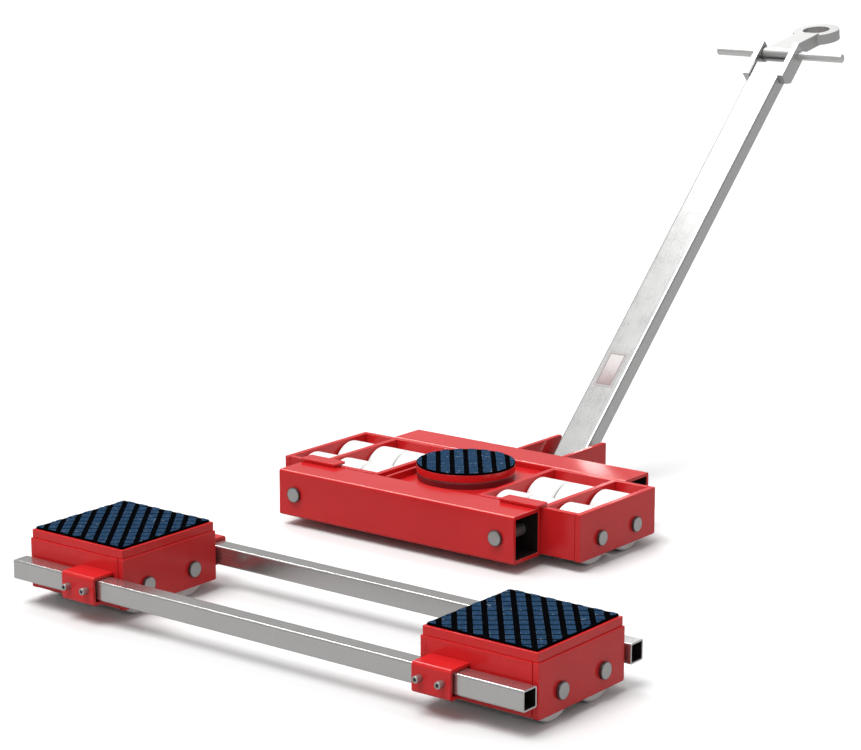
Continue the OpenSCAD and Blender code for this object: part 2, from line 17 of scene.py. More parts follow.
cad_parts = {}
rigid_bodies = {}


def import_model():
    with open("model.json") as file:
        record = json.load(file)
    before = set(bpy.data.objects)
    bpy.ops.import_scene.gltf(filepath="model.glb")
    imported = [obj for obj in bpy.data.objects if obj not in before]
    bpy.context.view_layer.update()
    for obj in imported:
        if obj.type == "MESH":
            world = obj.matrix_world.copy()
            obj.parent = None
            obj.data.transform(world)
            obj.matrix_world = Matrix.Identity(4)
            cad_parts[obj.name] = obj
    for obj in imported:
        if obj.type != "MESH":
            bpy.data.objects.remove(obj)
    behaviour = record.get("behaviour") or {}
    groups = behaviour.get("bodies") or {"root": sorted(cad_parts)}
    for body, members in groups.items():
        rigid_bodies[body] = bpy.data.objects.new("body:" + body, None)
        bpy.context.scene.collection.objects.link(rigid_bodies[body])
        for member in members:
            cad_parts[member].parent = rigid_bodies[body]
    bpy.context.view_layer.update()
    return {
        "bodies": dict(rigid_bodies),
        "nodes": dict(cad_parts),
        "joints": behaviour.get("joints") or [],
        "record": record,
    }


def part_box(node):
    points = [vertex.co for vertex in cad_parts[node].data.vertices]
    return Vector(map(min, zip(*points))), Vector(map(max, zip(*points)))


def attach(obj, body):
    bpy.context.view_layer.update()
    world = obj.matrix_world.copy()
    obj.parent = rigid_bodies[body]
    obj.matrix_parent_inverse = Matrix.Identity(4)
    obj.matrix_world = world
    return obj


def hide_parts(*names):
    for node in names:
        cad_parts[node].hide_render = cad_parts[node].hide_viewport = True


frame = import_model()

log = logging.getLogger("machine_skate")
METRES = 0.001
BOTH_WAYS = (-1, 1)
AXLE_RADIUS, AXLE_BORE = 10.0, 10.05
ROD_RADIUS, ROD_BORE = 8.0, 8.05
Pair = tuple[float, float]
Triple = tuple[float, float, float]
Colour = tuple[float, float, float]
Number = Union["Wire", float]
Sockets = Mapping[Union[str, int], object]


# --- Shader arithmetic ---------------------------------------------------------------------------


@dataclass(frozen=True)
class Wire:
    """A shader socket that takes part in Python arithmetic.

    Args:
        graph: The graph that the socket belongs to.
        socket: The output socket itself.
    """

    graph: "Graph"
    socket: bpy.types.NodeSocket

    def __add__(self, other: Number) -> "Wire":
        """Sum of two values."""
        return self.graph.math("ADD", self, other)

    __radd__ = __add__

    def __sub__(self, other: Number) -> "Wire":
        """This value less another."""
        return self.graph.math("SUBTRACT", self, other)

    def __rsub__(self, other: Number) -> "Wire":
        """Another value less this one."""
        return self.graph.math("SUBTRACT", other, self)

    def __mul__(self, other: Number) -> "Wire":
        """Product of two values."""
        return self.graph.math("MULTIPLY", self, other)

    __rmul__ = __mul__

    def __truediv__(self, other: Number) -> "Wire":
        """This value divided by another."""
        return self.graph.math("DIVIDE", self, other)

    def __rtruediv__(self, other: Number) -> "Wire":
        """Another value divided by this one."""
        return self.graph.math("DIVIDE", other, self)

    def clamped(self) -> "Wire":
        """This value held between 0 and 1."""
        return self.graph.math("MINIMUM", self.graph.math("MAXIMUM", self, 0.0), 1.0)


class Graph:
    """The nodes of one material or world.

    Args:
        owner: The material or world, whose present nodes are removed.
    """

    def __init__(self, owner: Union[bpy.types.Material, bpy.types.World]) -> None:
        """Empties the owner's node tree."""
        owner.use_nodes = True
        self.owner = owner
        self.tree = owner.node_tree
        self.tree.nodes.clear()

    def node(self, kind: str, sockets: Optional[Sockets] = None, **settings: object) -> bpy.types.Node:
        """Makes one node.

        Args:
            kind: The node's type.
            sockets: Values or wires for its inputs, by name or number.
            settings: Its settings, which are set before the sockets.

        Returns:
            The node.
        """
        made = self.tree.nodes.new(kind)
        for key, value in settings.items():
            setattr(made, key, value)
        for key, value in (sockets or {}).items():
            if isinstance(value, Wire):
                self.tree.links.new(value.socket, made.inputs[key])
            else:
                made.inputs[key].default_value = value
        return made

    def wire(self, made: bpy.types.Node, output: Union[str, int] = 0) -> Wire:
        """A node's output as a wire."""
        return Wire(self, made.outputs[output])

    def math(self, operation: str, first: Number, second: Number = 0.0) -> Wire:
        """One Math node, by its operation and its two values."""
        return self.wire(self.node("ShaderNodeMath", {0: first, 1: second}, operation=operation))

    def place(self) -> Wire:
        """The object coordinates."""
        return self.wire(self.node("ShaderNodeTexCoord"), "Object")

    def attribute(self, name: str) -> Wire:
        """A number that the piece's own vertices carry."""
        return self.wire(self.node("ShaderNodeAttribute", attribute_name=name), "Fac")

    def mapped(self, source: Wire, scale: Triple = (1.0, 1.0, 1.0), turn: Triple = (0.0, 0.0, 0.0)) -> Wire:
        """Coordinates turned about each way, in degrees, and then stretched along each way."""
        angles = tuple(math.radians(angle) for angle in turn)
        turned = self.wire(self.node("ShaderNodeMapping", {"Vector": source, "Rotation": angles}))
        return self.wire(self.node("ShaderNodeMapping", {"Vector": turned, "Scale": scale}))

    def noise(self, at: Wire, scale: float, detail: float = 2.0, roughness: float = 0.5) -> Wire:
        """Smooth noise between 0 and 1, with so many cells in a metre."""
        return self.wire(self.node("ShaderNodeTexNoise", {
            "Vector": at, "Scale": scale, "Detail": detail, "Roughness": roughness}))

    def stepped(self, value: Number, low: float, high: float) -> Wire:
        """A smooth step of a value, from 0 at the low one to 1 at the high one."""
        return self.wire(self.node("ShaderNodeMapRange", {"Value": value, "From Min": low, "From Max": high},
                                   interpolation_type="SMOOTHSTEP"))

    def blend(self, amount: Number, first: Union[Wire, Colour], second: Union[Wire, Colour]) -> Wire:
        """A colour between two.

        Args:
            amount: 0 gives the first, 1 the second.
            first: One colour.
            second: The other.

        Returns:
            The mixed colour.
        """
        whole = [shade if isinstance(shade, Wire) else (*shade, 1.0) for shade in (first, second)]
        made = self.node("ShaderNodeMix", {0: amount, 6: whole[0], 7: whole[1]}, data_type="RGBA")
        return self.wire(made, 2)

    def bump(self, height: Number, strength: float, distance: float) -> Wire:
        """A normal bumped by a height, whose 1 stands for the distance in metres."""
        return self.wire(self.node("ShaderNodeBump", {
            "Height": height, "Strength": strength, "Distance": distance}))

    def surface(self, sockets: Mapping[str, object]) -> bpy.types.Material:
        """Closes the graph with the shader's values and wires, and gives the material."""
        shader = self.node("ShaderNodeBsdfPrincipled", sockets)
        self.node("ShaderNodeOutputMaterial", {"Surface": self.wire(shader)})
        return self.owner


# --- Finishes ------------------------------------------------------------------------------------


@dataclass(frozen=True)
class Finish:
    """How a surface looks.

    Args:
        name: The material's name.
    """

    name: str

    def graph(self) -> Graph:
        """The graph of a new material."""
        return Graph(bpy.data.materials.new(self.name))

    def material(self) -> bpy.types.Material:
        """Makes the material, which each kind of finish does in its own way."""
        raise NotImplementedError


@dataclass(frozen=True)
class GlossPaint(Finish):
    """Sprayed paint with a faint orange peel and a slight change of hue.

    Args:
        light: The paint where it lies thin.
        deep: The paint where it lies thick.
        roughness: Its middle roughness.
        specular: Its specular level.
    """

    light: Colour
    deep: Colour
    roughness: float = 0.19
    specular: float = 0.34

    def material(self) -> bpy.types.Material:
        """Makes the material."""
        graph = self.graph()
        at = graph.place()
        clouds = graph.noise(at, 7.0, 3.0)
        peel = graph.noise(at, 240.0, 1.0)
        dust = graph.stepped(graph.noise(at, 36.0, 5.0, 0.65), 0.56, 0.8)
        hue = graph.blend(graph.stepped(clouds, 0.3, 0.7), self.deep, self.light)
        dulled = tuple(part * 0.92 + 0.01 for part in self.light)
        return graph.surface({
            "Base Color": graph.blend(dust * 0.08, hue, dulled),
            "Roughness": (self.roughness - 0.02 + clouds * 0.03 + dust * 0.05).clamped(),
            "Specular IOR Level": self.specular,
            "Normal": graph.bump(peel, 0.06, 0.0003)})


class Grain(Enum):
    """How the brushed lines of a steel piece lie: the turn that brings them along X, in degrees."""

    ALONG_X = (0.0, 0.0, 0.0)
    ALONG_DRAWBAR = (-44.0, 0.0, -90.0)
    ALONG_EYE = (-10.5, 0.0, -90.0)


@dataclass(frozen=True)
class BrushedSteel(Finish):
    """Zinc-plated steel with drawn lines.

    Args:
        light: The bright tone.
        dark: The dull tone.
        grain: How the lines lie.
        roughness: Its middle roughness.
        metallic: How metallic the plating looks.
    """

    light: Colour
    dark: Colour
    grain: Grain
    roughness: float = 0.38
    metallic: float = 0.85

    def material(self) -> bpy.types.Material:
        """Makes the material."""
        graph = self.graph()
        at = graph.mapped(graph.place(), turn=self.grain.value)
        lines = graph.noise(graph.mapped(at, scale=(5.0, 900.0, 900.0)), 1.0, 3.0, 0.6)
        bloom = graph.noise(at, 24.0, 4.0, 0.6)
        specks = graph.stepped(graph.noise(at, 420.0, 2.0), 0.66, 0.78)
        tone = graph.blend((lines * 0.55 + bloom * 0.45).clamped(), self.dark, self.light)
        speckled = graph.blend(specks * 0.25, tone, tuple(part * 0.55 for part in self.dark))
        return graph.surface({
            "Base Color": speckled, "Metallic": self.metallic,
            "Roughness": (self.roughness - 0.08 + lines * 0.1 + bloom * 0.08 + specks * 0.1).clamped(),
            "Normal": graph.bump(lines, 0.1, 0.0002)})


@dataclass(frozen=True)
class TurnedSteel(Finish):
    """Steel off the lathe, with fine rings about its own axis.

    Args:
        light: The bright tone.
        dark: The dull tone.
        roughness: Its middle roughness.
        rim: How much painted shade darkens a head round its rim, from 0 to 1.
        rim_radius: Where that painted shade starts, in millimetres from the axis.
        pitch: Distance from ring to ring, in millimetres.
    """

    light: Colour
    dark: Colour
    roughness: float = 0.34
    rim: float = 0.0
    rim_radius: float = 11.0
    pitch: float = 0.55

    def material(self) -> bpy.types.Material:
        """Makes the material."""
        graph = self.graph()
        radius = graph.attribute(Workpiece.TURNED_AT)
        rings = graph.math("SINE", radius * (2.0 * math.pi / self.pitch)) * 0.5 + 0.5
        haze = graph.noise(graph.place(), 60.0, 4.0, 0.6)
        # Painted shade: beyond the rim radius the head is blended towards black, a dark ring round it.
        rim = graph.stepped(radius, self.rim_radius - 0.5, self.rim_radius + 0.5)
        tone = graph.blend((rings * 0.4 + haze * 0.6).clamped(), self.dark, self.light)
        return graph.surface({
            "Base Color": graph.blend(rim * self.rim, tone, (0.02, 0.02, 0.02)), "Metallic": 0.85,
            "Roughness": (self.roughness - 0.06 + haze * 0.14 + rings * 0.03).clamped(),
            "Normal": graph.bump(rings, 0.12, 0.0001)})


@dataclass(frozen=True)
class Nylon(Finish):
    """White cast nylon, turned to size, with faint rings and scuffs.

    Args:
        clean: The bare nylon.
        scuffed: The nylon where it has rolled.
    """

    clean: Colour
    scuffed: Colour

    def material(self) -> bpy.types.Material:
        """Makes the material."""
        graph = self.graph()
        at = graph.place()
        rings = graph.noise(graph.mapped(at, scale=(1400.0, 3.0, 3.0)), 1.0, 2.0)
        rolled = graph.mapped(at, scale=(60.0, 260.0, 260.0))
        scuffs = graph.stepped(graph.noise(rolled, 1.0, 4.0, 0.7), 0.6, 0.8)
        clouds = graph.noise(at, 14.0, 3.0)
        tone = graph.blend(scuffs * 0.3 + clouds * 0.15, self.clean, self.scuffed)
        return graph.surface({
            "Base Color": tone, "Specular IOR Level": 0.45,
            "Roughness": (0.3 + rings * 0.1 + scuffs * 0.2).clamped(),
            "Normal": graph.bump(rings * 0.7 + scuffs * 0.3, 0.12, 0.0002)})


@dataclass(frozen=True)
class Rubber(Finish):
    """Moulded rubber with fine streaks along one way and light specks, which stand for wear and, on the blue
    pads, for painted glints.

    Args:
        body: The rubber's colour.
        streak: Its colour in the streaks.
        speck: Its colour in the specks, which stand for wear and, on the pads, for painted glints.
        turn: Turn of the streaks about Z, in degrees.
        specks: How many specks show, from 0 to 1.
        specular: Its specular level.
    """

    body: Colour
    streak: Colour
    speck: Colour
    turn: float = 38.0
    specks: float = 0.5
    specular: float = 0.06

    def material(self) -> bpy.types.Material:
        """Makes the material."""
        graph = self.graph()
        at = graph.mapped(graph.place(), turn=(0.0, 0.0, -self.turn))
        streaks = graph.noise(graph.mapped(at, scale=(520.0, 40.0, 200.0)), 1.0, 3.0, 0.6)
        grit = graph.noise(at, 900.0, 2.0)
        speck_noise = graph.noise(at, 150.0, 3.0, 0.7)
        # The specks are wear, and on the blue pads and the stud edges painted glints.
        speckled = graph.stepped(speck_noise, 0.72 - 0.14 * self.specks, 0.8 - 0.1 * self.specks)
        clouds = graph.noise(at, 22.0, 2.0)
        tone = graph.blend(graph.stepped(streaks, 0.45, 0.75) * 0.8 + clouds * 0.15, self.body, self.streak)
        return graph.surface({
            "Base Color": graph.blend(speckled * 0.7, tone, self.speck), "Specular IOR Level": self.specular,
            "Roughness": (0.55 + grit * 0.2 - streaks * 0.1).clamped(),
            "Normal": graph.bump(grit * 0.5 + streaks * 0.5, 0.3, 0.0003)})


@dataclass(frozen=True)
class BareLabel(Finish):
    """A pale film with a thin border line and no print.

    Args:
        margin: The colour outside the line.
        line: The line's colour.
        upper: The panel's colour at its upper end.
        lower: The panel's colour at its lower end.
        size: Width and length of the film, in millimetres.
        inset: Distance of the line's inner side from the film's edge.
        thickness: The line's thickness.
        blur: Half the width of the line's soft edges.
    """

    margin: Colour
    line: Colour
    upper: Colour
    lower: Colour
    size: Pair = (37.0, 72.0)
    inset: float = 5.0
    thickness: float = 1.2
    blur: float = 0.2

    def material(self) -> bpy.types.Material:
        """Makes the material."""
        graph = self.graph()
        at = graph.place()
        places = [graph.attribute(name) for name in Workpiece.MEASURED]
        edge = graph.math("MINIMUM", *(size / 2 - graph.math("MAXIMUM", place, place * -1.0)
                                       for size, place in zip(self.size, places)))
        clouds = graph.noise(at, 60.0, 3.0)
        fibre = graph.noise(at, 1200.0, 2.0)
        rise = graph.stepped(places[1] / self.size[1] + clouds * 0.3, -0.35, 0.5)
        rim = self.inset - self.thickness
        inside = graph.stepped(edge, self.inset - self.blur, self.inset + self.blur)
        outside = 1.0 - graph.stepped(edge, rim - self.blur, rim + self.blur)
        panel = graph.blend(inside, self.line, graph.blend(rise, self.lower, self.upper))
        return graph.surface({
            "Base Color": graph.blend(outside, panel, self.margin),
            "Roughness": (0.34 + fibre * 0.12).clamped(), "Normal": graph.bump(fibre, 0.08, 0.0001)})


@dataclass(frozen=True)
class FloorCoat(Finish):
    """The plain pale studio floor, which throws back less light than it shows.

    Args:
        tone: Its grey as seen.
        bounce: Its grey as it lights the set.
    """

    tone: float
    bounce: float

    def material(self) -> bpy.types.Material:
        """Makes the material."""
        graph = self.graph()
        clouds = graph.noise(graph.place(), 1.5, 2.0)
        seen = graph.wire(graph.node("ShaderNodeLightPath"), "Is Camera Ray")
        light, dark = (self.tone,) * 3, (self.tone * 0.985,) * 3
        return graph.surface({
            "Base Color": graph.blend(seen, (self.bounce,) * 3, graph.blend(clouds, dark, light)),
            "Roughness": 0.9, "Specular IOR Level": 0.1})


RED = GlossPaint("red_paint", (0.62, 0.018, 0.020), (0.57, 0.014, 0.016))
# Painted highlight: a lighter copy of the red paint on the beams' top corners, standing for the light line
# along their top edges.
EDGE_HIGHLIGHT_RED = GlossPaint("painted_edge_highlight", (0.86, 0.22, 0.19), (0.76, 0.12, 0.11))
# Painted shade: a darkened copy of the red paint for the base ring, which lies in the disc's shade.
SHADED_RED = GlossPaint("shaded_red_paint", (0.17, 0.014, 0.018), (0.13, 0.010, 0.014), roughness=0.3)
# Mill scale inside the tubes, made near black as painted shade in their bores.
SHADED_MILL_SCALE = Rubber("mill_scale_painted_shade", (0.012, 0.007, 0.007), (0.025, 0.014, 0.014), (0.05, 0.035, 0.03),
                    turn=0.0, specks=0.3, specular=0.25)
BAR_STEEL = BrushedSteel("bar_steel", (0.62, 0.61, 0.60), (0.51, 0.505, 0.495), Grain.ALONG_X,
                         roughness=0.22, metallic=0.92)
DRAWBAR_STEEL = BrushedSteel("drawbar_steel", (0.56, 0.56, 0.555), (0.49, 0.49, 0.486), Grain.ALONG_DRAWBAR,
                             roughness=0.27, metallic=0.95)
EYE_STEEL = BrushedSteel("eye_steel", (0.54, 0.54, 0.535), (0.42, 0.42, 0.415), Grain.ALONG_EYE)
# The axle heads, and faintly the bearings, carry a painted shade ring round their rims.
AXLE_STEEL = TurnedSteel("axle_steel", (0.50, 0.50, 0.495), (0.36, 0.36, 0.355), rim=0.75)
ROD_STEEL = TurnedSteel("rod_steel", (0.74, 0.74, 0.73), (0.6, 0.6, 0.595), roughness=0.3)
BEARING_STEEL = TurnedSteel("bearing_steel", (0.62, 0.62, 0.63), (0.48, 0.48, 0.49), roughness=0.22, rim=0.3)
SEAL = Rubber("bearing_seal", (0.02, 0.02, 0.022), (0.03, 0.03, 0.032), (0.06, 0.06, 0.06),
              turn=0.0, specks=0.0, specular=0.3)
NYLON = Nylon("nylon", (0.84, 0.84, 0.83), (0.66, 0.66, 0.64))
BLACK_RUBBER = Rubber("black_rubber", (0.0015, 0.0015, 0.002), (0.003, 0.0035, 0.005), (0.012, 0.012, 0.015),
                      specks=0.2, specular=0.0)
# The pale specks of the blue rubber are painted glints.
BLUE_RUBBER = Rubber("blue_rubber", (0.0045, 0.028, 0.072), (0.014, 0.062, 0.14), (0.28, 0.40, 0.52),
                     specular=0.04)
# Painted highlight: pale specks on the studs' sloping edges stand for glints along them.
GLINT_RUBBER = Rubber("painted_stud_edge_glints", (0.02, 0.07, 0.13), (0.10, 0.18, 0.27), (0.80, 0.85, 0.88),
                     specks=1.3, specular=0.04)
LABEL = BareLabel("bare_label", (0.42, 0.39, 0.385), (0.17, 0.14, 0.145), (0.62, 0.59, 0.585),
                  (0.34, 0.25, 0.25))
FLOOR = FloorCoat("studio_floor", 0.86, 0.45)


# --- Shaping -------------------------------------------------------------------------------------


class Way(Enum):
    """The way in which an outline is drawn out, or that an axis takes."""

    X = ((0, 0, 1, 0), (1, 0, 0, 0), (0, 1, 0, 0), (0, 0, 0, 1))
    Y = ((1, 0, 0, 0), (0, 0, 1, 0), (0, 1, 0, 0), (0, 0, 0, 1))
    Z = ((1, 0, 0, 0), (0, 1, 0, 0), (0, 0, 1, 0), (0, 0, 0, 1))

    @property
    def matrix(self) -> Matrix:
        """The matrix that lays a shape drawn out along Z in this way."""
        return Matrix(self.value)


class Side(Enum):
    """A side of the set: the word for it in the nodes' names and its sign along X."""

    LEFT = ("left", -1)
    RIGHT = ("right", 1)

    @property
    def word(self) -> str:
        """The word in the nodes' names."""
        return self.value[0]

    @property
    def sign(self) -> int:
        """-1 on the left and 1 on the right."""
        return self.value[1]


class Join(Enum):
    """How one solid changes another."""

    WELD = "UNION"
    CUT = "DIFFERENCE"


def rectangle(across: Pair, along: Pair) -> list[Pair]:
    """The corners of a rectangle, from the low one round, by its start and end in both ways."""
    (left, right), (low, high) = across, along
    return [(left, low), (right, low), (right, high), (left, high)]


@dataclass(frozen=True)
class StudGrid:
    """The grooves that part a pad into studs.

    Args:
        pitch: Distances from groove to groove across and along the strips.
        groove: Widths of the two kinds of groove.
        first: Offsets of the first grooves from the pad's middle.
        angle: Direction across the strips, in degrees from X.
        rise: How far the studs stand above the slab.
        depth: How far they reach down from their tops.
        margin: How far they stay from the pad's edge.
        least: The area of the smallest stud that stays, in square millimetres.
    """

    pitch: Pair
    groove: Pair
    first: Pair
    angle: float = 38.0
    rise: float = 0.9
    depth: float = 1.3
    margin: float = 1.0
    least: float = 14.0

    def way(self, k: int) -> Vector:
        """Unit vector across the grooves of one kind."""
        angle = math.radians(self.angle + 90.0 * k)
        return Vector((math.cos(angle), math.sin(angle), 0.0))

    def cuts(self, k: int, span: float) -> list[float]:
        """Distances from the middle to both edges of every groove of one kind, out to the span."""
        count = math.ceil(span / self.pitch[k])
        return [self.first[k] + i * self.pitch[k] + end * self.groove[k] / 2
                for i in range(-count, count + 1) for end in (-1, 1)]

    def in_groove(self, point: Vector) -> bool:
        """Whether a point of the pad lies in a groove."""
        for k, pitch in enumerate(self.pitch):
            off = (point.dot(self.way(k)) - self.first[k] + pitch / 2) % pitch - pitch / 2
            if abs(off) < self.groove[k] / 2:
                return True
        return False


class Workpiece:
    """Closed solids in millimetres that are shaped before they become one piece."""

    # Attributes that a turned and a measured workpiece carry.
    TURNED_AT = "turned_at"
    MEASURED = ("across", "along")
    # Vertices that are closer than this are one, and edges that are sharper than this shade as edges.
    WELD_DISTANCE = 1e-3
    SHARP = math.radians(50.0)
    CORNER_STEPS = 6
    STUD_EDGE = 0.6
    # The Z of the normals of the studs' softened edges, which take a painted glint, lies between these.
    STUD_EDGES = (0.3, 0.95)

    def __init__(self) -> None:
        """Starts with nothing on the bench."""
        self.bm = bmesh.new()

    @classmethod
    def block(cls, size: Triple, at: Triple = (0.0, 0.0, 0.0), edge: float = 0.8) -> "Workpiece":
        """A block centred on a point.

        Args:
            size: Its size along X, Y and Z.
            at: Its middle.
            edge: Width of its softened edges.

        Returns:
            The block.
        """
        work = cls()
        bmesh.ops.create_cube(work.bm, size=1.0,
                              matrix=Matrix.Translation(at) @ Matrix.Diagonal((*size, 1.0)))
        return work.soften(edge)

    @classmethod
    def prism(cls, outline: Sequence[Pair], length: float, way: Way = Way.Z, edge: float = 0.8,
              rounds: Optional[Mapping[int, float]] = None, holes: Sequence[Triple] = ()) -> "Workpiece":
        """A flat outline drawn out into a plate or bar that starts at 0.

        Args:
            outline: Corners, in the two ways across the drawing.
            length: How far it is drawn out.
            way: The way in which it is drawn out.
            edge: Width of its softened edges.
            rounds: Radii of corners, by the corner's number.
            holes: Round holes as middle and radius.

        Returns:
            The prism.
        """
        work = cls()
        bm = work.bm
        corners = [bm.verts.new((u, v, 0.0)) for u, v in outline]
        bm.faces.new(corners)
        for number, radius in (rounds or {}).items():
            work.round_corners([corners[number]], radius)
        if holes:
            bmesh.ops.delete(bm, geom=list(bm.faces), context="FACES_ONLY")
            for u, v, radius in holes:
                bmesh.ops.create_circle(bm, cap_ends=False, segments=48, radius=radius,
                                        matrix=Matrix.Translation((u, v, 0.0)))
            bmesh.ops.triangle_fill(bm, edges=list(bm.edges), use_beauty=True, use_dissolve=False)
        work.draw_out(list(bm.faces), length)
        return work.outward().soften(edge).turn(way.matrix)

    @classmethod
    def pipe(cls, width: float, height: float, wall: float, corner: float, length: float, way: Way,
             edge: float = 0.4) -> "Workpiece":
        """A hollow four-sided bar, centred on its length. Its inner faces take the second finish.

        Args:
            width: Its first size across.
            height: Its second size across.
            wall: Its wall.
            corner: Radius of its outer corners.
            length: Its length.
            way: The way in which it lies.
            edge: Width of the softened edges at its ends.

        Returns:
            The bar.
        """
        work = cls()
        bm = work.bm
        rims: list[bmesh.types.BMEdge] = []
        for inset, radius in ((0.0, corner), (wall, max(corner - wall, 0.5))):
            u, v = width / 2 - inset, height / 2 - inset
            corners = [bm.verts.new((x, y, -length / 2)) for x, y in rectangle((-u, u), (-v, v))]
            bm.faces.new(corners)
            work.round_corners(corners, radius)
            bmesh.ops.delete(bm, geom=list(bm.faces), context="FACES_ONLY")
            rims += [e for e in bm.edges if e not in rims]
        ring = bmesh.ops.bridge_loops(bm, edges=rims)["faces"]
        work.draw_out(ring, length)
        work.outward().soften(edge)
        # The inner faces take the second finish, which on every tube is near black and stands for painted
        # shade in the bore.
        inner = Vector((width / 2 - wall, height / 2 - wall)) + Vector((cls.WELD_DISTANCE,) * 2)
        for face in bm.faces:
            if all(abs(vert.co.x) <= inner.x and abs(vert.co.y) <= inner.y for vert in face.verts):
                face.material_index = 1
        return work.turn(way.matrix)

    @classmethod
    def turned(cls, profile: Sequence[Pair], way: Way = Way.Z, closed: bool = False, edge: float = 0.5,
               steps: int = 72) -> "Workpiece":
        """A profile turned about its axis.

        Args:
            profile: Places along the axis with their radii.
            way: The axis.
            closed: Whether the profile closes on itself, round a bore.
            edge: Width of its softened edges.
            steps: Steps of a whole turn.

        Returns:
            The turned part.
        """
        work = cls()
        bm = work.bm
        points = [bm.verts.new((radius, 0.0, along)) for along, radius in profile]
        following = points[1:] + points[:1] if closed else points[1:]
        lines = [bm.edges.new(pair) for pair in zip(points, following)]
        bmesh.ops.spin(bm, geom=points + lines, cent=(0, 0, 0), axis=(0, 0, 1), dvec=(0, 0, 0),
                       angle=2 * math.pi, steps=steps, use_merge=True, use_normal_flip=False,
                       use_duplicate=False)
        bmesh.ops.remove_doubles(bm, verts=bm.verts, dist=cls.WELD_DISTANCE)
        work.outward().soften(edge)
        layer = bm.verts.layers.float.new(cls.TURNED_AT)
        for vert in bm.verts:
            vert[layer] = math.hypot(vert.co.x, vert.co.y)
        return work.turn(way.matrix)

    @classmethod
    def rod(cls, start: float, end: float, radius: float, way: Way = Way.Z, edge: float = 0.0,
            steps: int = 48, bore: float = 0.0) -> "Workpiece":
        """A straight round part along its axis, whole or with a bore."""
        profile = [(start, bore), (start, radius), (end, radius), (end, bore)]
        return cls.turned(profile, way, closed=bore > 0.0, edge=edge, steps=steps)

    @classmethod
    def studs(cls, outline: Sequence[Pair], grid: StudGrid, top: float) -> "Workpiece":
        """Raised studs that fill a flat outline. They take the second finish, and their sloping edges the
        third, which paints a light glint along them.

        Args:
            outline: The outline's corners about the pad's middle.
            grid: The grooves between the studs.
            top: The height of the studs' tops.

        Returns:
            The studs.
        """
        work = cls()
        bm = work.bm
        bm.faces.new([bm.verts.new((x, y, top)) for x, y in outline])
        span = max(math.hypot(x, y) for x, y in outline)
        for k in (0, 1):
            for cut in grid.cuts(k, span):
                bmesh.ops.bisect_plane(bm, geom=[*bm.verts, *bm.edges, *bm.faces], dist=1e-4,
                                       plane_co=grid.way(k) * cut, plane_no=grid.way(k))
        waste = [f for f in bm.faces if grid.in_groove(f.calc_center_median()) or f.calc_area() < grid.least]
        bmesh.ops.delete(bm, geom=waste, context="FACES")
        work.draw_out(list(bm.faces), -grid.depth)
        return work.outward().soften(cls.STUD_EDGE, segments=1).tint(1).tint_slopes(1, 2, cls.STUD_EDGES)

    def round_corners(self, corners: Sequence[bmesh.types.BMVert], radius: float) -> None:
        """Rounds corners of a flat outline."""
        bmesh.ops.bevel(self.bm, geom=list(corners), offset=radius, segments=self.CORNER_STEPS, profile=0.5,
                        affect="VERTICES", material=-1)

    def draw_out(self, faces: Sequence[bmesh.types.BMFace], length: float) -> None:
        """Draws flat faces out along Z into closed bodies of this length."""
        made = bmesh.ops.extrude_face_region(self.bm, geom=list(faces))
        moved = [item for item in made["geom"] if isinstance(item, bmesh.types.BMVert)]
        bmesh.ops.translate(self.bm, vec=(0.0, 0.0, length), verts=moved)

    def outward(self) -> "Workpiece":
        """Points every face outwards."""
        bmesh.ops.recalc_face_normals(self.bm, faces=self.bm.faces)
        return self

    def soften(self, width: float, segments: int = 2, sharper_than: float = 35.0) -> "Workpiece":
        """Softens the edges.

        Args:
            width: Width of the softened strip on each side.
            segments: Steps across it.
            sharper_than: The least angle of an edge that is softened, in degrees.

        Returns:
            This workpiece.
        """
        if width > 0.0:
            limit = math.radians(sharper_than)
            edges = [e for e in self.bm.edges if len(e.link_faces) == 2 and e.calc_face_angle() > limit]
            bmesh.ops.bevel(self.bm, geom=edges, offset=width, offset_type="OFFSET", segments=segments,
                            profile=0.5, affect="EDGES", clamp_overlap=True, material=-1)
        return self

    def measured(self) -> "Workpiece":
        """Marks every vertex with its present X and Y, which a finish can read."""
        for k, name in enumerate(self.MEASURED):
            layer = self.bm.verts.layers.float.new(name)
            for vert in self.bm.verts:
                vert[layer] = vert.co[k]
        return self

    def turn(self, matrix: Matrix) -> "Workpiece":
        """Turns, moves or mirrors everything."""
        bmesh.ops.transform(self.bm, matrix=matrix, verts=self.bm.verts)
        return self.outward() if matrix.determinant() < 0 else self

    def mirror(self, x: int = 1, y: int = 1) -> "Workpiece":
        """Mirrors everything where a sign is -1."""
        return self.turn(Matrix.Diagonal((x, y, 1.0, 1.0)))

    def move(self, x: float = 0.0, y: float = 0.0, z: float = 0.0) -> "Workpiece":
        """Moves everything."""
        return self.turn(Matrix.Translation((x, y, z)))

    def tint(self, number: int) -> "Workpiece":
        """Gives every face one of the piece's finishes."""
        for face in self.bm.faces:
            face.material_index = number
        return self

    def tint_slopes(self, old: int, new: int, slopes: Pair) -> "Workpiece":
        """Gives the sloping faces of one finish another.

        Args:
            old: The number of the present finish.
            new: The number of the new one.
            slopes: Between which two values the Z of their normals lies.

        Returns:
            This workpiece.
        """
        for face in self.bm.faces:
            if face.material_index == old and slopes[0] < face.normal.z < slopes[1]:
                face.material_index = new
        return self

    def add(self, *others: "Workpiece") -> "Workpiece":
        """Lays other workpieces beside this one as bodies of the same piece.

        Args:
            others: The other workpieces, which are used up.

        Returns:
            This workpiece.
        """
        for other in others:
            mesh = bpy.data.meshes.new("beside")
            other.bm.to_mesh(mesh)
            other.bm.free()
            self.bm.from_mesh(mesh)
            bpy.data.meshes.remove(mesh)
        return self

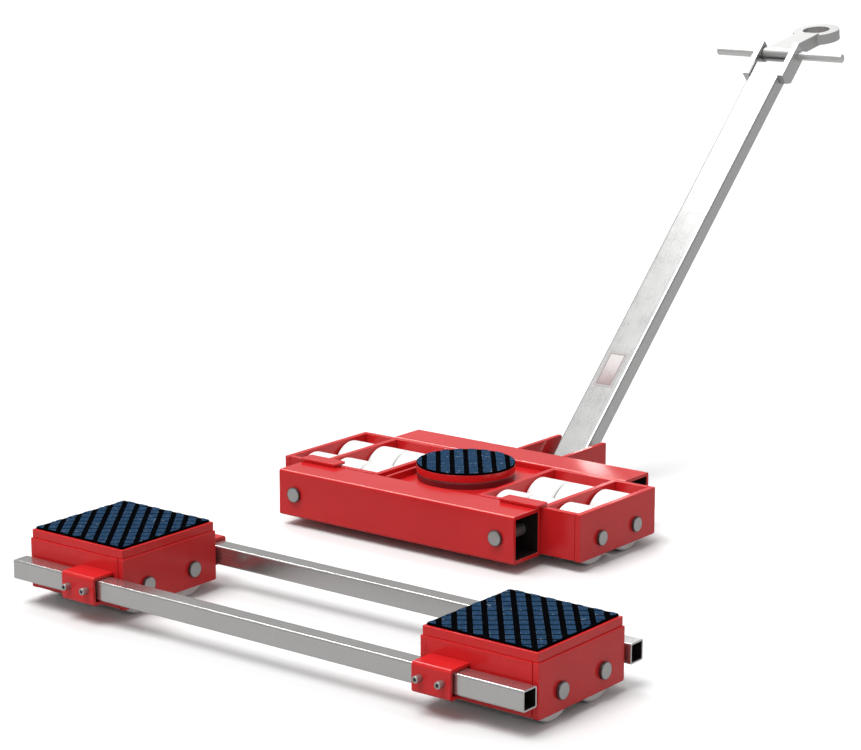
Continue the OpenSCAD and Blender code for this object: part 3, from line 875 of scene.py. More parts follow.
    def as_object(self, name: str) -> bpy.types.Object:
        """A plain object of this workpiece, in millimetres."""
        mesh = bpy.data.meshes.new(name)
        self.bm.to_mesh(mesh)
        made = bpy.data.objects.new(name, mesh)
        bpy.context.scene.collection.objects.link(made)
        return made

    def combine(self, join: Join, *others: "Workpiece") -> "Workpiece":
        """Welds other workpieces on, or cuts them out.

        Args:
            join: Which of the two.
            others: The other workpieces, which are used up.

        Returns:
            This workpiece.
        """
        target = self.as_object("target")
        helpers = [other.as_object("helper") for other in others]
        for helper in helpers:
            step = target.modifiers.new("step", "BOOLEAN")
            step.operation, step.solver, step.object = join.value, "EXACT", helper
        result = evaluated(target)
        self.bm.clear()
        self.bm.from_mesh(result)
        for helper in [target, *helpers]:
            bpy.data.meshes.remove(helper.data)
        bpy.data.meshes.remove(result)
        bmesh.ops.remove_doubles(self.bm, verts=self.bm.verts, dist=self.WELD_DISTANCE)
        return self

    def finished(self, name: str, finishes: Sequence[bpy.types.Material]) -> bpy.types.Object:
        """Makes the finished object, in metres, with even shading across flat faces.

        Args:
            name: The object's name.
            finishes: Its materials.

        Returns:
            The object at the origin.
        """
        bmesh.ops.scale(self.bm, vec=(METRES,) * 3, verts=self.bm.verts)
        for face in self.bm.faces:
            face.smooth = True
        for edge in self.bm.edges:
            edge.smooth = len(edge.link_faces) != 2 or edge.calc_face_angle() < self.SHARP
        made = self.as_object(name)
        self.bm.free()
        for finish in finishes:
            made.data.materials.append(finish)
        step = made.modifiers.new("even", "WEIGHTED_NORMAL")
        step.keep_sharp = True
        mesh = evaluated(made)
        made.modifiers.clear()
        old, made.data = made.data, mesh
        bpy.data.meshes.remove(old)
        mesh.name = name
        return made


def evaluated(made: bpy.types.Object) -> bpy.types.Mesh:
    """A copy of an object's mesh with its modifiers applied."""
    bpy.context.view_layer.update()
    return bpy.data.meshes.new_from_object(made.evaluated_get(bpy.context.evaluated_depsgraph_get()))


# --- The bench: where pieces are fitted to the frame -----------------------------------------------


class Bench:
    """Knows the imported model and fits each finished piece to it."""

    def __init__(self, loaded: Mapping[str, object]) -> None:
        """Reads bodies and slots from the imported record.
        """
        record = loaded["record"]
        self.nodes: Mapping[str, bpy.types.Object] = loaded["nodes"]
        self.body_of = {node: body for body, nodes in record["behaviour"]["bodies"].items() for node in nodes}
        self.slot_of = {part["node"]: part["material_slot"] for part in record["subparts"]}
        self.made: dict[Finish, bpy.types.Material] = {}

    def material(self, finish: Finish) -> bpy.types.Material:
        """The material of a finish, made once."""
        if finish not in self.made:
            self.made[finish] = finish.material()
        return self.made[finish]

    def middle(self, node: str) -> Vector:
        """The middle of a node's box, in millimetres."""
        low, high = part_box(node)
        return (low + high) / (2 * METRES)

    def size(self, node: str) -> Vector:
        """The size of a node's box, in millimetres."""
        low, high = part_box(node)
        return (high - low) / METRES

    def fit(self, node: str, work: Workpiece, *finishes: Finish) -> bpy.types.Object:
        """Makes a workpiece, in its place and in millimetres, the piece that stands for a CAD node."""
        return self.attach(f"{node}_piece", node, work, *finishes, stands_for=(node,))

    def attach(self, name: str, node: str, work: Workpiece, *finishes: Finish,
               stands_for: Sequence[str] = ()) -> bpy.types.Object:
        """Makes a workpiece a piece that rides with a node.

        Args:
            name: The piece's name.
            node: The node whose body it takes.
            work: The workpiece, in its place, in millimetres.
            finishes: The piece's finishes.
            stands_for: The nodes that it replaces.

        Returns:
            The piece.
        """
        piece = work.finished(name, [self.material(finish) for finish in finishes])
        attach(piece, self.body_of[node])
        if stands_for:
            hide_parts(*stands_for)
        log.info("%s: %d faces on %s", name, len(piece.data.polygons), self.body_of[node])
        return piece

    def paint(self, node: str, finish: Finish) -> None:
        """Gives a CAD node that stays a finish."""
        slots = self.nodes[node].data.materials
        slots.clear()
        slots.append(self.material(finish))
        log.info("%s: painted as it is", node)


# --- Shared parts --------------------------------------------------------------------------------


@dataclass(frozen=True)
class Heights:
    """Heights that all frames share."""

    ground: float = 17.0
    frame_top: float = 93.0
    axle: float = 45.0
    corner_cut: float = 2.0

    @property
    def frame(self) -> float:
        """The height of a frame."""
        return self.frame_top - self.ground

    @property
    def middle(self) -> float:
        """The middle of a frame's height."""
        return self.ground + self.frame / 2

    @property
    def sheets(self) -> Pair:
        """Where a frame's front and back sheets start and end."""
        return self.ground + self.corner_cut, self.frame_top

    def side_plates(self, width: float, depth: float, plate: float, spacing: float, edge: float) -> Workpiece:
        """Both side plates of a frame, with their lower corners cut off and their axle holes.

        Args:
            width: The frame's width over both plates.
            depth: The plates' depth.
            plate: Their thickness.
            spacing: Distance between the axles.
            edge: Width of their softened edges.

        Returns:
            The plates about the frame's middle.
        """
        half, low, cut = depth / 2, self.ground, self.corner_cut
        outline = [(-half, self.frame_top), (-half, low + cut), (-half + cut, low),
                   (half - cut, low), (half, low + cut), (half, self.frame_top)]
        holes = [(side * spacing / 2, self.axle, AXLE_BORE) for side in BOTH_WAYS]
        return Workpiece().add(*(Workpiece.prism(outline, plate, Way.X, edge, holes=holes).move(x)
                                 for x in (-width / 2, width / 2 - plate)))


@dataclass(frozen=True)
class RollerSet:
    """Nylon rollers with their bearings.

    Args:
        bench: The bench.
        bore: Radius of a roller's bore between its bearings.
        radius: A roller's radius.
        chamfer: Width of its chamfers.
        sunk: Radii between which its end faces are sunk.
        sunk_depth: How deep they are sunk.
        sunk_slope: Width of the slope down to that depth.
        bearing_radius: A bearing's outer radius.
        bearing_width: Its width.
        seat_play: Play of its seat along and across the axle.
        seal: Radii between which its faces are sunk for the seals.
        seal_levels: Depths of a seal's face, of the sunk face and of the seal's root.
        seal_play: Play of a seal in its place.
    """

    bench: Bench
    bore: float = 14.0
    radius: float = 45.0
    chamfer: float = 2.5
    sunk: Pair = (27.0, 38.0)
    sunk_depth: float = 0.6
    sunk_slope: float = 1.0
    bearing_radius: float = 21.0
    bearing_width: float = 12.0
    seat_play: Pair = (0.3, 0.05)
    seal: Pair = (13.5, 18.2)
    seal_levels: Triple = (0.15, 0.5, 0.7)
    seal_play: float = 0.1

    def roller(self, width: float) -> Workpiece:
        """One roller along X about the origin.

        Args:
            width: Its width.

        Returns:
            The roller.
        """
        half, (inner, outer) = width / 2, self.sunk
        seat = half - self.bearing_width - self.seat_play[0]
        seat_radius = self.bearing_radius + self.seat_play[1]
        rise = [(seat, self.bore), (seat, seat_radius), (half, seat_radius), (half, inner),
                (half - self.sunk_depth, inner + self.sunk_slope),
                (half - self.sunk_depth, outer - self.sunk_slope), (half, outer),
                (half, self.radius - self.chamfer), (half - self.chamfer, self.radius)]
        return Workpiece.turned([(-x, r) for x, r in rise] + rise[::-1], Way.X, closed=True, edge=0.35,
                                steps=96)

    def bearing(self, x: float) -> list[Workpiece]:
        """One bearing along X: its rings and its two seals.

        Args:
            x: Its middle.

        Returns:
            Steel body and dark seals.
        """
        half, (low, high) = self.bearing_width / 2, self.seal
        top, floor, root = (half - level for level in self.seal_levels)
        face = [(half, AXLE_BORE), (half, low), (floor, low), (floor, high), (half, high),
                (half, self.bearing_radius)]
        body = Workpiece.turned([(-a, r) for a, r in face] + face[::-1], Way.X, closed=True, edge=0.25)
        seals = [Workpiece.rod(end * root, end * top, high - self.seal_play, Way.X, steps=72,
                               bore=low + self.seal_play).tint(1) for end in BOTH_WAYS]
        return [part.move(x) for part in (body, *seals)]

    def build(self, bearings: str, rollers: Sequence[str]) -> None:
        """Builds the rollers of one box and their bearings.

        Args:
            bearings: The node of the bearings.
            rollers: The nodes of the rollers.
        """
        held = Workpiece()
        for node in rollers:
            at, width = self.bench.middle(node), self.bench.size(node).x
            self.bench.fit(node, self.roller(width).move(*at), NYLON)
            for end in BOTH_WAYS:
                for part in self.bearing(end * (width - self.bearing_width) / 2):
                    held.add(part.move(*at))
        self.bench.fit(bearings, held, BEARING_STEEL, SEAL)


def headed_pin(start: float, end: float, head: float, head_radius: float, way: Way,
               both: bool = False) -> Workpiece:
    """A round pin with a flat head at its end, or one at each end.

    Args:
        start: Where the shank starts.
        end: Where it ends.
        head: The head's thickness.
        head_radius: The head's radius.
        way: The pin's axis.
        both: Whether its start has a head too.

    Returns:
        The pin.
    """
    near = [(start - head, 0.0), (start - head, head_radius), (start, head_radius)]
    far = [(end, head_radius), (end + head, head_radius), (end + head, 0.0)]
    if not both:
        near = [(start, 0.0)]
    return Workpiece.turned([*near, (start, AXLE_RADIUS), (end, AXLE_RADIUS), *far], way, edge=0.8, steps=48)


@dataclass
class Sided:
    """A sub-assembly that stands on the left and on the right.

    Args:
        bench: The bench.
        side: The side on which this one stands.
        heights: The heights of its frame.
        plate: Thickness of its side plates.
        axle_spacing: Distance between its axles.
        axle_head: Thickness of their heads.
        axle_head_radius: Radius of their heads.
    """

    bench: Bench
    side: Side
    heights: Heights = Heights()
    plate: float = 10.0
    axle_spacing: float = 96.0
    axle_head: float = 5.0
    axle_head_radius: float = 12.0


# --- The rear pair -------------------------------------------------------------------------------


@dataclass
class TieBars:
    """The two square tubes that hold the rear pair together."""

    bench: Bench
    wall: float = 2.5
    corner: float = 3.0

    def build(self) -> None:
        """Builds both bars."""
        for node in ("near_tie_bar", "far_tie_bar"):
            size = self.bench.size(node)
            bar = Workpiece.pipe(size.y, size.z, self.wall, self.corner, size.x, Way.X)
            self.bench.fit(node, bar.move(*self.bench.middle(node)), BAR_STEEL, SHADED_MILL_SCALE)


@dataclass
class RearSkate(Sided):
    """One padded skate of the rear pair."""

    width: float = 189.0
    depth: float = 196.0
    plate_setback: float = 0.8
    sheet: float = 4.0
    sheet_play: float = 0.2
    clamp_length: float = 63.0
    clamp_wall: float = 5.0
    clamp_from_middle: float = 44.5
    clamp_face: float = 139.2
    clamp_low: float = 35.5
    clamp_high: float = 67.5
    clamp_rounds: Pair = (5.0, 2.0)
    screw_radius: float = 5.0
    screw_hole: float = 5.05
    drill_reach: Pair = (-9.0, 3.0)
    screw_tip: float = 131.8
    screw_end: float = 149.5
    screw_spacing: float = 36.0
    screw_height: float = 52.5
    key_radius: float = 2.9
    key_depth: float = 6.0
    grid: StudGrid = StudGrid((20.0, 19.7), (8.2, 4.4), (10.0, 9.8))

    def body(self) -> Workpiece:
        """Two side plates with a front and a back sheet between them."""
        work = self.heights.side_plates(self.width, self.depth - 2 * self.plate_setback, self.plate,
                                        self.axle_spacing, edge=1.4)
        low, high = self.heights.sheets
        size = (self.width - 2 * (self.plate + self.sheet_play), self.sheet, high - low)
        for y in BOTH_WAYS:
            middle = (0.0, y * (self.depth - self.sheet) / 2, (low + high) / 2)
            work.add(Workpiece.block(size, middle, edge=0.7))
        return work

    def clamps(self) -> Workpiece:
        """The two bent brackets round the tie bars."""
        root, wall = self.depth / 2, self.clamp_wall
        low, high, face = self.clamp_low, self.clamp_high, self.clamp_face
        outline = [(root, low - wall), (face, low - wall), (face, high + wall), (root, high + wall),
                   (root, high), (face - wall, high), (face - wall, low), (root, low)]
        outer, inner = self.clamp_rounds
        work = Workpiece()
        for way in BOTH_WAYS:
            bent = Workpiece.prism(outline, self.clamp_length, Way.X, edge=0.0,
                                   rounds={1: outer, 2: outer, 5: inner, 6: inner})
            start, end = (face + reach for reach in self.drill_reach)
            drills = [Workpiece.rod(start, end, self.screw_hole, Way.Y, steps=32)
                      .move(self.clamp_length / 2 + x * self.screw_spacing / 2, 0.0, self.screw_height)
                      for x in BOTH_WAYS]
            bent.combine(Join.CUT, *drills).soften(0.6).mirror(y=way)
            work.add(bent.move(-self.side.sign * self.clamp_from_middle - self.clamp_length / 2))
        return work

    def screws(self, way: int) -> Workpiece:
        """The two grub screws of one clamp.

        Args:
            way: -1 on the near side and 1 on the far side.

        Returns:
            The screws.
        """
        work = Workpiece()
        for x in BOTH_WAYS:
            screw = Workpiece.rod(self.screw_tip, self.screw_end, self.screw_radius, Way.Y, edge=0.9,
                                  steps=40)
            key = Workpiece()
            bmesh.ops.create_cone(key.bm, cap_ends=True, cap_tris=False, segments=6, radius1=self.key_radius,
                                  radius2=self.key_radius, depth=2 * self.key_depth,
                                  matrix=Matrix.Translation((0.0, self.screw_end, 0.0))
                                  @ Matrix.Rotation(math.pi / 2, 4, "X"))
            screw.combine(Join.CUT, key)
            work.add(screw.move(x * self.screw_spacing / 2 - self.side.sign * self.clamp_from_middle, 0.0,
                                self.screw_height))
        return work.mirror(y=way)

    def pad(self, node: str) -> Workpiece:
        """The rubber pad: a black slab with raised blue studs.

        Args:
            node: The pad's node.

        Returns:
            The pad about the skate's middle.
        """
        size, middle, rise = self.bench.size(node), self.bench.middle(node), self.grid.rise
        slab = Workpiece.block((size.x, size.y, size.z - rise), (0.0, 0.0, middle.z - rise / 2), edge=0.5)
        u, v = size.x / 2 - self.grid.margin, size.y / 2 - self.grid.margin
        return slab.add(Workpiece.studs(rectangle((-u, u), (-v, v)), self.grid, middle.z + size.z / 2))

    def axles(self) -> Workpiece:
        """Both axles with a flat head at each end."""
        half = self.width / 2
        return Workpiece().add(*(
            headed_pin(-half, half, self.axle_head, self.axle_head_radius, Way.X, both=True)
            .move(0.0, y * self.axle_spacing / 2, self.heights.axle) for y in BOTH_WAYS))

    def build(self) -> None:
        """Builds and dresses the skate."""
        name = f"{self.side.word}_skate_"
        top = name + "top_plate"
        middle = self.bench.middle(name + "body")
        above = self.bench.middle(top) - Vector((middle.x, middle.y, 0.0))
        parts = {name + "body": (self.body(), RED),
                 top: (Workpiece.block(tuple(self.bench.size(top)), tuple(above), edge=1.0), RED),
                 name + "pad": (self.pad(name + "pad"), BLACK_RUBBER, BLUE_RUBBER, GLINT_RUBBER),
                 name + "clamps": (self.clamps(), RED),
                 name + "axles": (self.axles(), AXLE_STEEL),
                 f"{self.side.word}_near_clamp_screws": (self.screws(-1), AXLE_STEEL),
                 f"{self.side.word}_far_clamp_screws": (self.screws(1), AXLE_STEEL)}
        for node, (work, *finishes) in parts.items():
            self.bench.fit(node, work.move(middle.x, middle.y), *finishes)
        RollerSet(self.bench).build(name + "bearings", [f"{name}roller_{i}" for i in range(1, 5)])


# --- The front skate -----------------------------------------------------------------------------


@dataclass
class Chassis:
    """The cross beams, bed, stop tabs, pivot pins and drawbar fork of the front skate."""

    bench: Bench
    heights: Heights = Heights()
    wall: float = 6.0
    corner: float = 4.0
    # The Z of the normals of the beams' corner faces that carry the painted highlight lies between these.
    worn_slopes: Pair = (0.7, 0.96)
    tab_length: float = 74.0
    tab_depth: float = 28.0
    tab_foot: float = 13.0
    tab_gap: float = 1.8
    tab_wall: float = 4.5
    tab_round: float = 3.0
    foot_inset: Pair = (1.5, 1.0)
    foot_sunk: float = 1.0
    pivot_spacing: float = 404.0
    beam_shift: float = -12.0
    beam_back: float = 175.5
    beam_depth: float = 70.0
    pin_inner_end: float = 95.0
    pin_head: float = 5.0
    pin_head_radius: float = 12.5
    fork_plate: float = 8.0
    fork_round: float = 2.0
    fork_pin_head: float = 4.0
    fork_pin_head_radius: float = 13.0

    def beams(self) -> None:
        """Builds both hollow beams."""
        for node in ("front_beam", "rear_beam"):
            size = self.bench.size(node)
            beam = Workpiece.pipe(size.y, size.z, self.wall, self.corner, size.x, Way.X, edge=0.6)
            # The upward-sloping corner faces take the third finish, a painted highlight along the beams' top
            # edges.
            beam.tint_slopes(0, 2, self.worn_slopes).move(*self.bench.middle(node))
            self.bench.fit(node, beam, RED, SHADED_MILL_SCALE, EDGE_HIGHLIGHT_RED)

    def tabs(self) -> Workpiece:
        """Two plates on feet that reach over the cassettes."""
        edge = self.beam_depth - self.beam_back
        front, back = edge - self.tab_foot, edge - self.tab_foot + self.tab_depth
        half, (across, along) = self.tab_length / 2, self.foot_inset
        work = Workpiece()
        for side in BOTH_WAYS:
            x = self.beam_shift + side * self.pivot_spacing / 2
            plate = Workpiece.prism(rectangle((x - half, x + half), (front, back)), self.tab_wall, edge=0.9,
                                    rounds=dict.fromkeys(range(4), self.tab_round))
            foot = Workpiece.prism(rectangle((x - half + across, x + half - across), (front + along, edge)),
                                   self.tab_gap + self.foot_sunk, edge=0.3)
            work.add(plate.move(z=self.heights.frame_top + self.tab_gap), foot.move(z=self.heights.frame_top))
        return work

    def pins(self) -> Workpiece:
        """The four pivot pins, with their heads on the beams' outer faces."""
        work = Workpiece()
        for way in BOTH_WAYS:
            for side in BOTH_WAYS:
                pin = headed_pin(self.pin_inner_end, self.beam_back, self.pin_head, self.pin_head_radius,
                                 Way.Y).mirror(y=way)
                work.add(pin.move(self.beam_shift + side * self.pivot_spacing / 2, 0.0, self.heights.middle))
        return work

    def fork(self) -> Workpiece:
        """The two plates behind the rear beam that hold the drawbar."""
        size, middle = self.bench.size("drawbar_fork"), self.bench.middle("drawbar_fork")
        outline = rectangle((middle.y - size.y / 2, middle.y + size.y / 2),
                            (self.heights.ground, self.heights.frame_top))
        rounds = dict.fromkeys((1, 2), self.fork_round)
        return Workpiece().add(*(
            Workpiece.prism(outline, self.fork_plate, Way.X, edge=0.9, rounds=rounds).move(start)
            for start in (middle.x - size.x / 2, middle.x + size.x / 2 - self.fork_plate)))

    def build(self) -> None:
        """Builds and dresses the chassis."""
        self.beams()
        table = self.bench.middle("turntable_disc")
        self.bench.fit("stop_tabs", self.tabs().move(table.x, table.y), RED)
        self.bench.fit("pivot_pins", self.pins().move(table.x, table.y), AXLE_STEEL)
        self.bench.fit("drawbar_fork", self.fork(), RED)
        half = self.bench.size("drawbar_pin").x / 2
        pin = headed_pin(-half, half - self.fork_pin_head, self.fork_pin_head,
                         self.fork_pin_head_radius, Way.X)
        self.bench.fit("drawbar_pin", pin.move(*self.bench.middle("drawbar_pin")), AXLE_STEEL)
        self.bench.paint("turntable_bed", RED)


@dataclass
class Turntable:
    """The fixed base ring, the thrust race, the turning disc and its studded pad."""

    bench: Bench
    spigot: float = 20.0
    spigot_play: float = 0.05
    race_bore: float = 40.0
    disc_gap: float = 0.3
    steps: int = 128
    grid: StudGrid = StudGrid((22.4, 22.2), (8.4, 2.6), (0.0, 1.5))

    def level(self, node: str) -> Triple:
        """Underside, top and radius of one of the stack's round nodes."""
        low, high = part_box(node)
        return low.z / METRES, high.z / METRES, (high.x - low.x) / (2 * METRES)

    def ring(self, node: str, bore: float, edge: float) -> Workpiece:
        """A flat ring for a node, with this bore and softened edges."""
        return Workpiece.rod(*self.level(node), edge=edge, steps=self.steps, bore=bore)

    def disc(self) -> Workpiece:
        """The turning disc with its spigot."""
        spigot_low, high, radius = self.level("turntable_disc")
        low = self.level("turntable_race")[1] + self.disc_gap
        profile = [(spigot_low, 0.0), (spigot_low, self.spigot), (low, self.spigot), (low, radius),
                   (high, radius), (high, 0.0)]
        return Workpiece.turned(profile, edge=0.8, steps=self.steps)

    def pad(self) -> Workpiece:
        """The round pad: a black slab with raised blue studs."""
        low, high, radius = self.level("turntable_pad")
        slab = Workpiece.rod(low, high - self.grid.rise, radius, edge=0.5, steps=self.steps)
        reach = radius - self.grid.margin
        angles = [2 * math.pi * i / self.steps for i in range(self.steps)]
        outline = [(reach * math.cos(angle), reach * math.sin(angle)) for angle in angles]
        return slab.add(Workpiece.studs(outline, self.grid, high))

    def build(self) -> None:
        """Builds and dresses the turntable."""
        middle = self.bench.middle("turntable_disc")
        base, race = "turntable_base_ring", "turntable_race"
        stack = {base: (self.ring(base, self.spigot + self.spigot_play, 0.9), SHADED_RED),
                 race: (self.ring(race, self.race_bore, 0.3), BEARING_STEEL),
                 "turntable_disc": (self.disc(), RED),
                 "turntable_pad": (self.pad(), BLACK_RUBBER, BLUE_RUBBER, GLINT_RUBBER)}
        for node, (work, *finishes) in stack.items():
            self.bench.fit(node, work.move(middle.x, middle.y), *finishes)


@dataclass
class Cassette(Sided):
    """One rocking roller cassette of the front skate."""

    width: float = 197.0
    depth: float = 209.0
    inner_plate: float = 25.5
    play: float = 0.2
    axle_sunk: float = 0.5
    pivot: float = 202.0
    beam_shift: float = -12.0

    def body(self, pivot: float) -> Workpiece:
        """The welded frame about its own middle.

        Args:
            pivot: Where the pivot pins' bores lie along X.

        Returns:
            The frame.
        """
        work = self.heights.side_plates(self.width, self.depth, self.plate, self.axle_spacing, edge=1.2)
        reach = self.width / 2 - self.plate - self.play
        sheet = rectangle((-reach, reach), self.heights.sheets)
        holes = [(pivot, self.heights.middle, AXLE_BORE)]
        for start in (-self.depth / 2, self.depth / 2 - self.plate):
            work.add(Workpiece.prism(sheet, self.plate, Way.Y, holes=holes).move(0.0, start))
        depth = self.depth - 2 * (self.plate + self.play)
        return work.add(Workpiece.block((self.plate, depth, self.heights.frame),
                                        (self.side.sign * self.inner_plate, 0.0, self.heights.middle)))

    def axles(self) -> Workpiece:
        """Both axles, with a flat head on the outer side."""
        half = self.width / 2
        return Workpiece().add(*(
            headed_pin(self.axle_sunk - half, half, self.axle_head, self.axle_head_radius, Way.X)
            .mirror(x=self.side.sign)
            .move(0.0, y * self.axle_spacing / 2, self.heights.axle) for y in BOTH_WAYS))

    def build(self) -> None:
        """Builds and dresses the cassette."""
        name = f"{self.side.word}_cassette_"
        middle, table = self.bench.middle(name + "frame"), self.bench.middle("turntable_disc")
        pivot = self.beam_shift + self.side.sign * self.pivot + table.x - middle.x
        self.bench.fit(name + "frame", self.body(pivot).move(middle.x, middle.y), RED)
        self.bench.fit(name + "axles", self.axles().move(middle.x, middle.y), AXLE_STEEL)
        RollerSet(self.bench).build(name + "bearings", [f"{name}roller_{i}" for i in range(1, 7)])


@dataclass
class Drawbar:
    """The lifting drawbar with its head, handle rod and towing eye."""

    bench: Bench
    shift: float = 25.5
    pivot_y: float = 254.0
    pivot_z: float = 54.0
    angle: float = 44.0
    width: float = 60.0
    height: float = 30.0
    wall: float = 3.0
    corner: float = 4.0
    tail: float = 30.0
    reach: float = 892.0
    spacer_end: float = 41.2
    spacer_radius: float = 15.0
    rod: float = 925.0
    rod_reach: float = 130.0
    head_start: float = 859.0
    head_end: float = 939.0
    head_wall: float = 12.0
    head_depth: float = 35.0
    head_cut: float = 12.0
    eye_angle: float = 10.5
    eye_reach: float = 137.0
    eye_rise: float = 2.0
    eye_radius: float = 43.0
    eye_hole: float = 25.0
    eye_wall: float = 19.0
    shank_width: float = 44.0
    shank_wall: float = 23.0
    shank_end: float = 108.0
    boss_radius: float = 13.5
    boss_width: float = 58.0
    label_at: Pair = (-2.5, 191.0)
    label_thickness: float = 0.3
    label_round: float = 2.0

    def place(self) -> Matrix:
        """The matrix from the drawbar's own frame to its place."""
        table = self.bench.middle("turntable_disc")
        return (Matrix.Translation((table.x + self.shift, table.y + self.pivot_y, self.pivot_z))
                @ Matrix.Rotation(math.radians(self.angle), 4, "X"))

    def eye_place(self) -> Matrix:
        """The matrix from the eye's own frame to its place."""
        return (self.place() @ Matrix.Translation((0.0, self.rod, 0.0))
                @ Matrix.Rotation(math.radians(self.eye_angle - self.angle), 4, "X"))

    def tube(self) -> Workpiece:
        """The hollow tube with its pivot hole."""
        work = Workpiece.pipe(self.width, self.height, self.wall, self.corner, self.reach + self.tail, Way.Y)
        drill = Workpiece.rod(-self.width, self.width, AXLE_BORE, Way.X)
        return work.move(0.0, (self.reach - self.tail) / 2).combine(Join.CUT, drill)

    def spacers(self) -> Workpiece:
        """The two rings between the tube and the fork."""
        return Workpiece().add(*(
            Workpiece.rod(self.width / 2, self.spacer_end, self.spacer_radius, Way.X, edge=0.6, steps=72,
                          bore=AXLE_BORE).mirror(x=side) for side in BOTH_WAYS))

    def head_plates(self) -> Workpiece:
        """The two flat plates on the tube's sides."""
        low, cut = -self.height / 2, self.head_cut
        outline = [(self.head_start + cut, low), (self.head_end, low), (self.head_end, low + self.head_depth),
                   (self.head_start, low + self.head_depth), (self.head_start, low + cut)]
        holes = [(self.rod, 0.0, ROD_BORE)]
        return Workpiece().add(*(
            Workpiece.prism(outline, self.head_wall, Way.X, edge=1.0, holes=holes).move(x)
            for x in (-self.width / 2 - self.head_wall, self.width / 2)))

    def eye(self) -> Workpiece:
        """The towing eye: a ring on a shank, with a boss round the rod."""
        half, ends, past = self.eye_wall / 2, self.boss_width / 2, self.boss_width
        ring = Workpiece.rod(-half, half, self.eye_radius, steps=96).move(0.0, self.eye_reach, self.eye_rise)
        shank = Workpiece.block((self.shank_width, self.shank_end, self.shank_wall),
                                (0.0, self.shank_end / 2, self.eye_rise), edge=0.0)
        boss = Workpiece.rod(-ends, ends, self.boss_radius, Way.X, steps=64)
        hole = Workpiece.rod(-past, past, self.eye_hole, steps=96).move(0.0, self.eye_reach)
        bore = Workpiece.rod(-past, past, ROD_BORE, Way.X)
        return ring.combine(Join.WELD, shank, boss).combine(Join.CUT, hole, bore).soften(1.2)

    def label(self) -> Workpiece:
        """The film, with its corners rounded."""
        u, v = LABEL.size[0] / 2, LABEL.size[1] / 2
        film = Workpiece.prism(rectangle((-u, u), (-v, v)), self.label_thickness, edge=0.1,
                               rounds=dict.fromkeys(range(4), self.label_round))
        return film.measured().move(*self.label_at, self.height / 2)

    def build(self) -> None:
        """Builds and dresses the drawbar and its eye."""
        place = self.place()
        rod = Workpiece.rod(-self.rod_reach, self.rod_reach, ROD_RADIUS, Way.X, edge=1.2).move(0.0, self.rod)
        parts = {"drawbar_tube": (self.tube(), DRAWBAR_STEEL, SHADED_MILL_SCALE),
                 "drawbar_spacers": (self.spacers(), AXLE_STEEL),
                 "drawbar_head_plates": (self.head_plates(), DRAWBAR_STEEL),
                 "handle_rod": (rod, ROD_STEEL)}
        for node, (work, *finishes) in parts.items():
            self.bench.fit(node, work.turn(place), *finishes)
        self.bench.fit("towing_eye", self.eye().turn(self.eye_place()), EYE_STEEL)
        self.bench.attach("bare_label", "drawbar_tube", self.label().turn(place), LABEL)


# --- The studio ----------------------------------------------------------------------------------


def hang(name: str, kind: str, at: Vector, facing: Vector, **settings: object) -> None:
    """Hangs a light, unseen by the camera itself.

    Args:
        name: The light's name.
        kind: Its type.
        at: Where it hangs.
        facing: The way from what it lights to the light.
        settings: The light's settings.
    """
    data = bpy.data.lights.new(name, kind)
    for key, value in settings.items():
        setattr(data, key, value)
    lamp = bpy.data.objects.new(name, data)
    lamp.location = at
    lamp.rotation_euler = facing.to_track_quat("Z", "Y").to_euler()
    lamp.visible_camera = False
    bpy.context.scene.collection.objects.link(lamp)


@dataclass(frozen=True)
class Softbox:
    """One soft area light.

    Args:
        name: The light's name.
        place: Where it hangs, in metres about the turntable.
        size: Its edge, in metres.
        power: Its power in watts.
        aim: The point that it faces, in metres about the turntable.
    """

    name: str
    place: Triple
    size: float
    power: float
    aim: Triple = (0.0, 0.0, 0.0)

    def hang(self, middle: Vector) -> None:
        """Hangs the light about the turntable's middle on the floor."""
        place = Vector(self.place)
        hang(self.name, "AREA", middle + place, place - Vector(self.aim),
             shape="SQUARE", size=self.size, energy=self.power)


@dataclass(frozen=True)
class WideSun:
    """A very wide, even light from one direction.

    Args:
        name: The light's name.
        place: Where it stands as seen from the set.
        spread: Its width in degrees.
        strength: Its strength.
    """

    name: str
    place: Triple
    spread: float
    strength: float

    def hang(self, middle: Vector) -> None:
        """Hangs the light over the turntable's middle on the floor."""
        hang(self.name, "SUN", middle, Vector(self.place),
             angle=math.radians(self.spread), energy=self.strength)


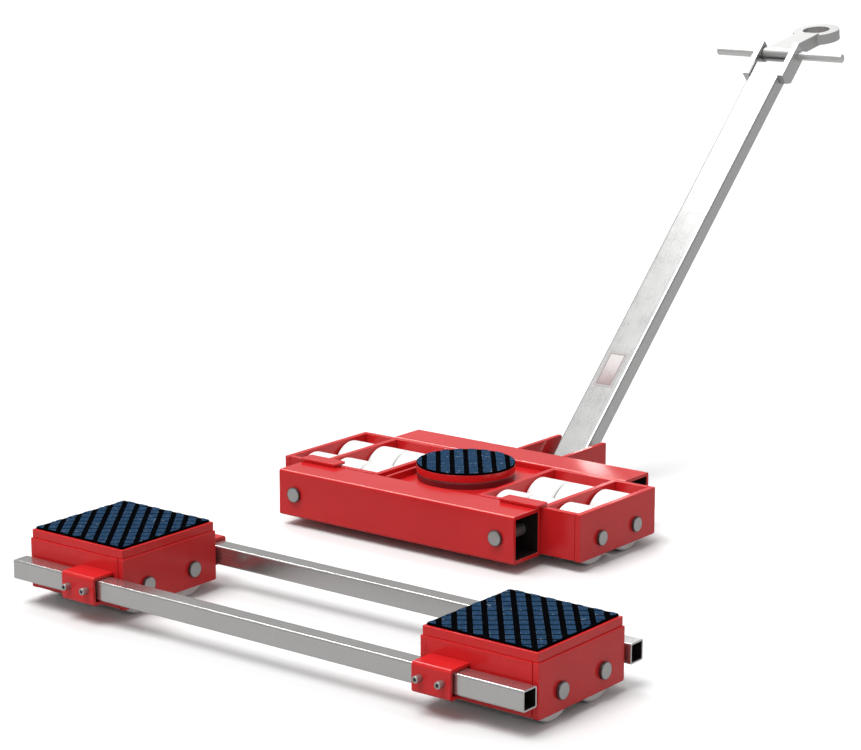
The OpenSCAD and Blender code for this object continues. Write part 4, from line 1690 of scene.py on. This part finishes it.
@dataclass
class Studio:
    """The camera, the lights and the floor."""

    bench: Bench
    camera_place: Triple = (2.37097, -3.138763, 1.13340)
    azimuth: float = 37.9014
    elevation: float = 12.6361
    lens: float = 105.18
    sensor: float = 36.0
    sight: float = 100.0
    sky: Pair = (0.38, 0.6)
    floor_reach: float = 60.0
    lights: Sequence[Union[WideSun, Softbox]] = (
        WideSun("top_light", (-0.10, -0.38, 1.0), 36.0, 2.4),
        WideSun("edge_light", (-0.6, 0.33, 0.73), 10.0, 0.45),
        Softbox("drawbar_box", (-1.05, 1.0, 2.66), 1.3, 14.0),
        Softbox("eye_box", (-0.69, 1.81, 1.30), 0.6, 1.7, (0.03, 1.04, 0.73)))

    def middle(self) -> Vector:
        """The turntable's middle on the floor, in metres."""
        at = self.bench.middle("turntable_disc") * METRES
        return Vector((at.x, at.y, 0.0))

    def set_camera(self) -> None:
        """Sets the camera at the photograph's angle."""
        azimuth, elevation = math.radians(self.azimuth), math.radians(self.elevation)
        back = Vector((math.sin(azimuth) * math.cos(elevation), -math.cos(azimuth) * math.cos(elevation),
                       math.sin(elevation)))
        data = bpy.data.cameras.new("camera")
        data.lens, data.sensor_width, data.sensor_fit = self.lens, self.sensor, "HORIZONTAL"
        data.clip_end = self.sight
        made = bpy.data.objects.new("camera", data)
        made.location = self.middle() + Vector(self.camera_place)
        made.rotation_euler = back.to_track_quat("Z", "Y").to_euler()
        bpy.context.scene.collection.objects.link(made)
        bpy.context.scene.camera = made

    def light_sky(self) -> None:
        """Lights the studio evenly from above, weaker towards the floor."""
        world = bpy.data.worlds.new("studio")
        bpy.context.scene.world = world
        graph = Graph(world)
        way = graph.wire(graph.node("ShaderNodeTexCoord"), "Generated")
        height = graph.wire(graph.node("ShaderNodeSeparateXYZ", {0: way}), "Z")
        strength = graph.wire(graph.node("ShaderNodeMapRange", {
            "Value": height, "To Min": self.sky[0], "To Max": self.sky[1]}))
        ground = graph.node("ShaderNodeBackground", {"Color": (1.0,) * 4, "Strength": strength})
        graph.node("ShaderNodeOutputWorld", {"Surface": graph.wire(ground)})

    def lay_floor(self) -> None:
        """Lays the plain pale floor."""
        work = Workpiece()
        bmesh.ops.create_grid(work.bm, x_segments=1, y_segments=1, size=self.floor_reach)
        floor = work.as_object("floor")
        work.bm.free()
        floor.data.materials.append(self.bench.material(FLOOR))

    def build(self) -> None:
        """Sets up the whole studio."""
        self.set_camera()
        self.light_sky()
        self.lay_floor()
        for light in self.lights:
            light.hang(self.middle())
        bpy.context.scene.view_settings.view_transform = "Standard"


def main() -> None:
    """Builds the studio and every sub-assembly."""
    logging.basicConfig(level=logging.INFO, format="%(message)s")
    bench = Bench(frame)
    Studio(bench).build()
    TieBars(bench).build()
    for side in Side:
        RearSkate(bench, side).build()
    Chassis(bench).build()
    Turntable(bench).build()
    for side in Side:
        Cassette(bench, side).build()
    Drawbar(bench).build()


if __name__ == "__main__":
    main()
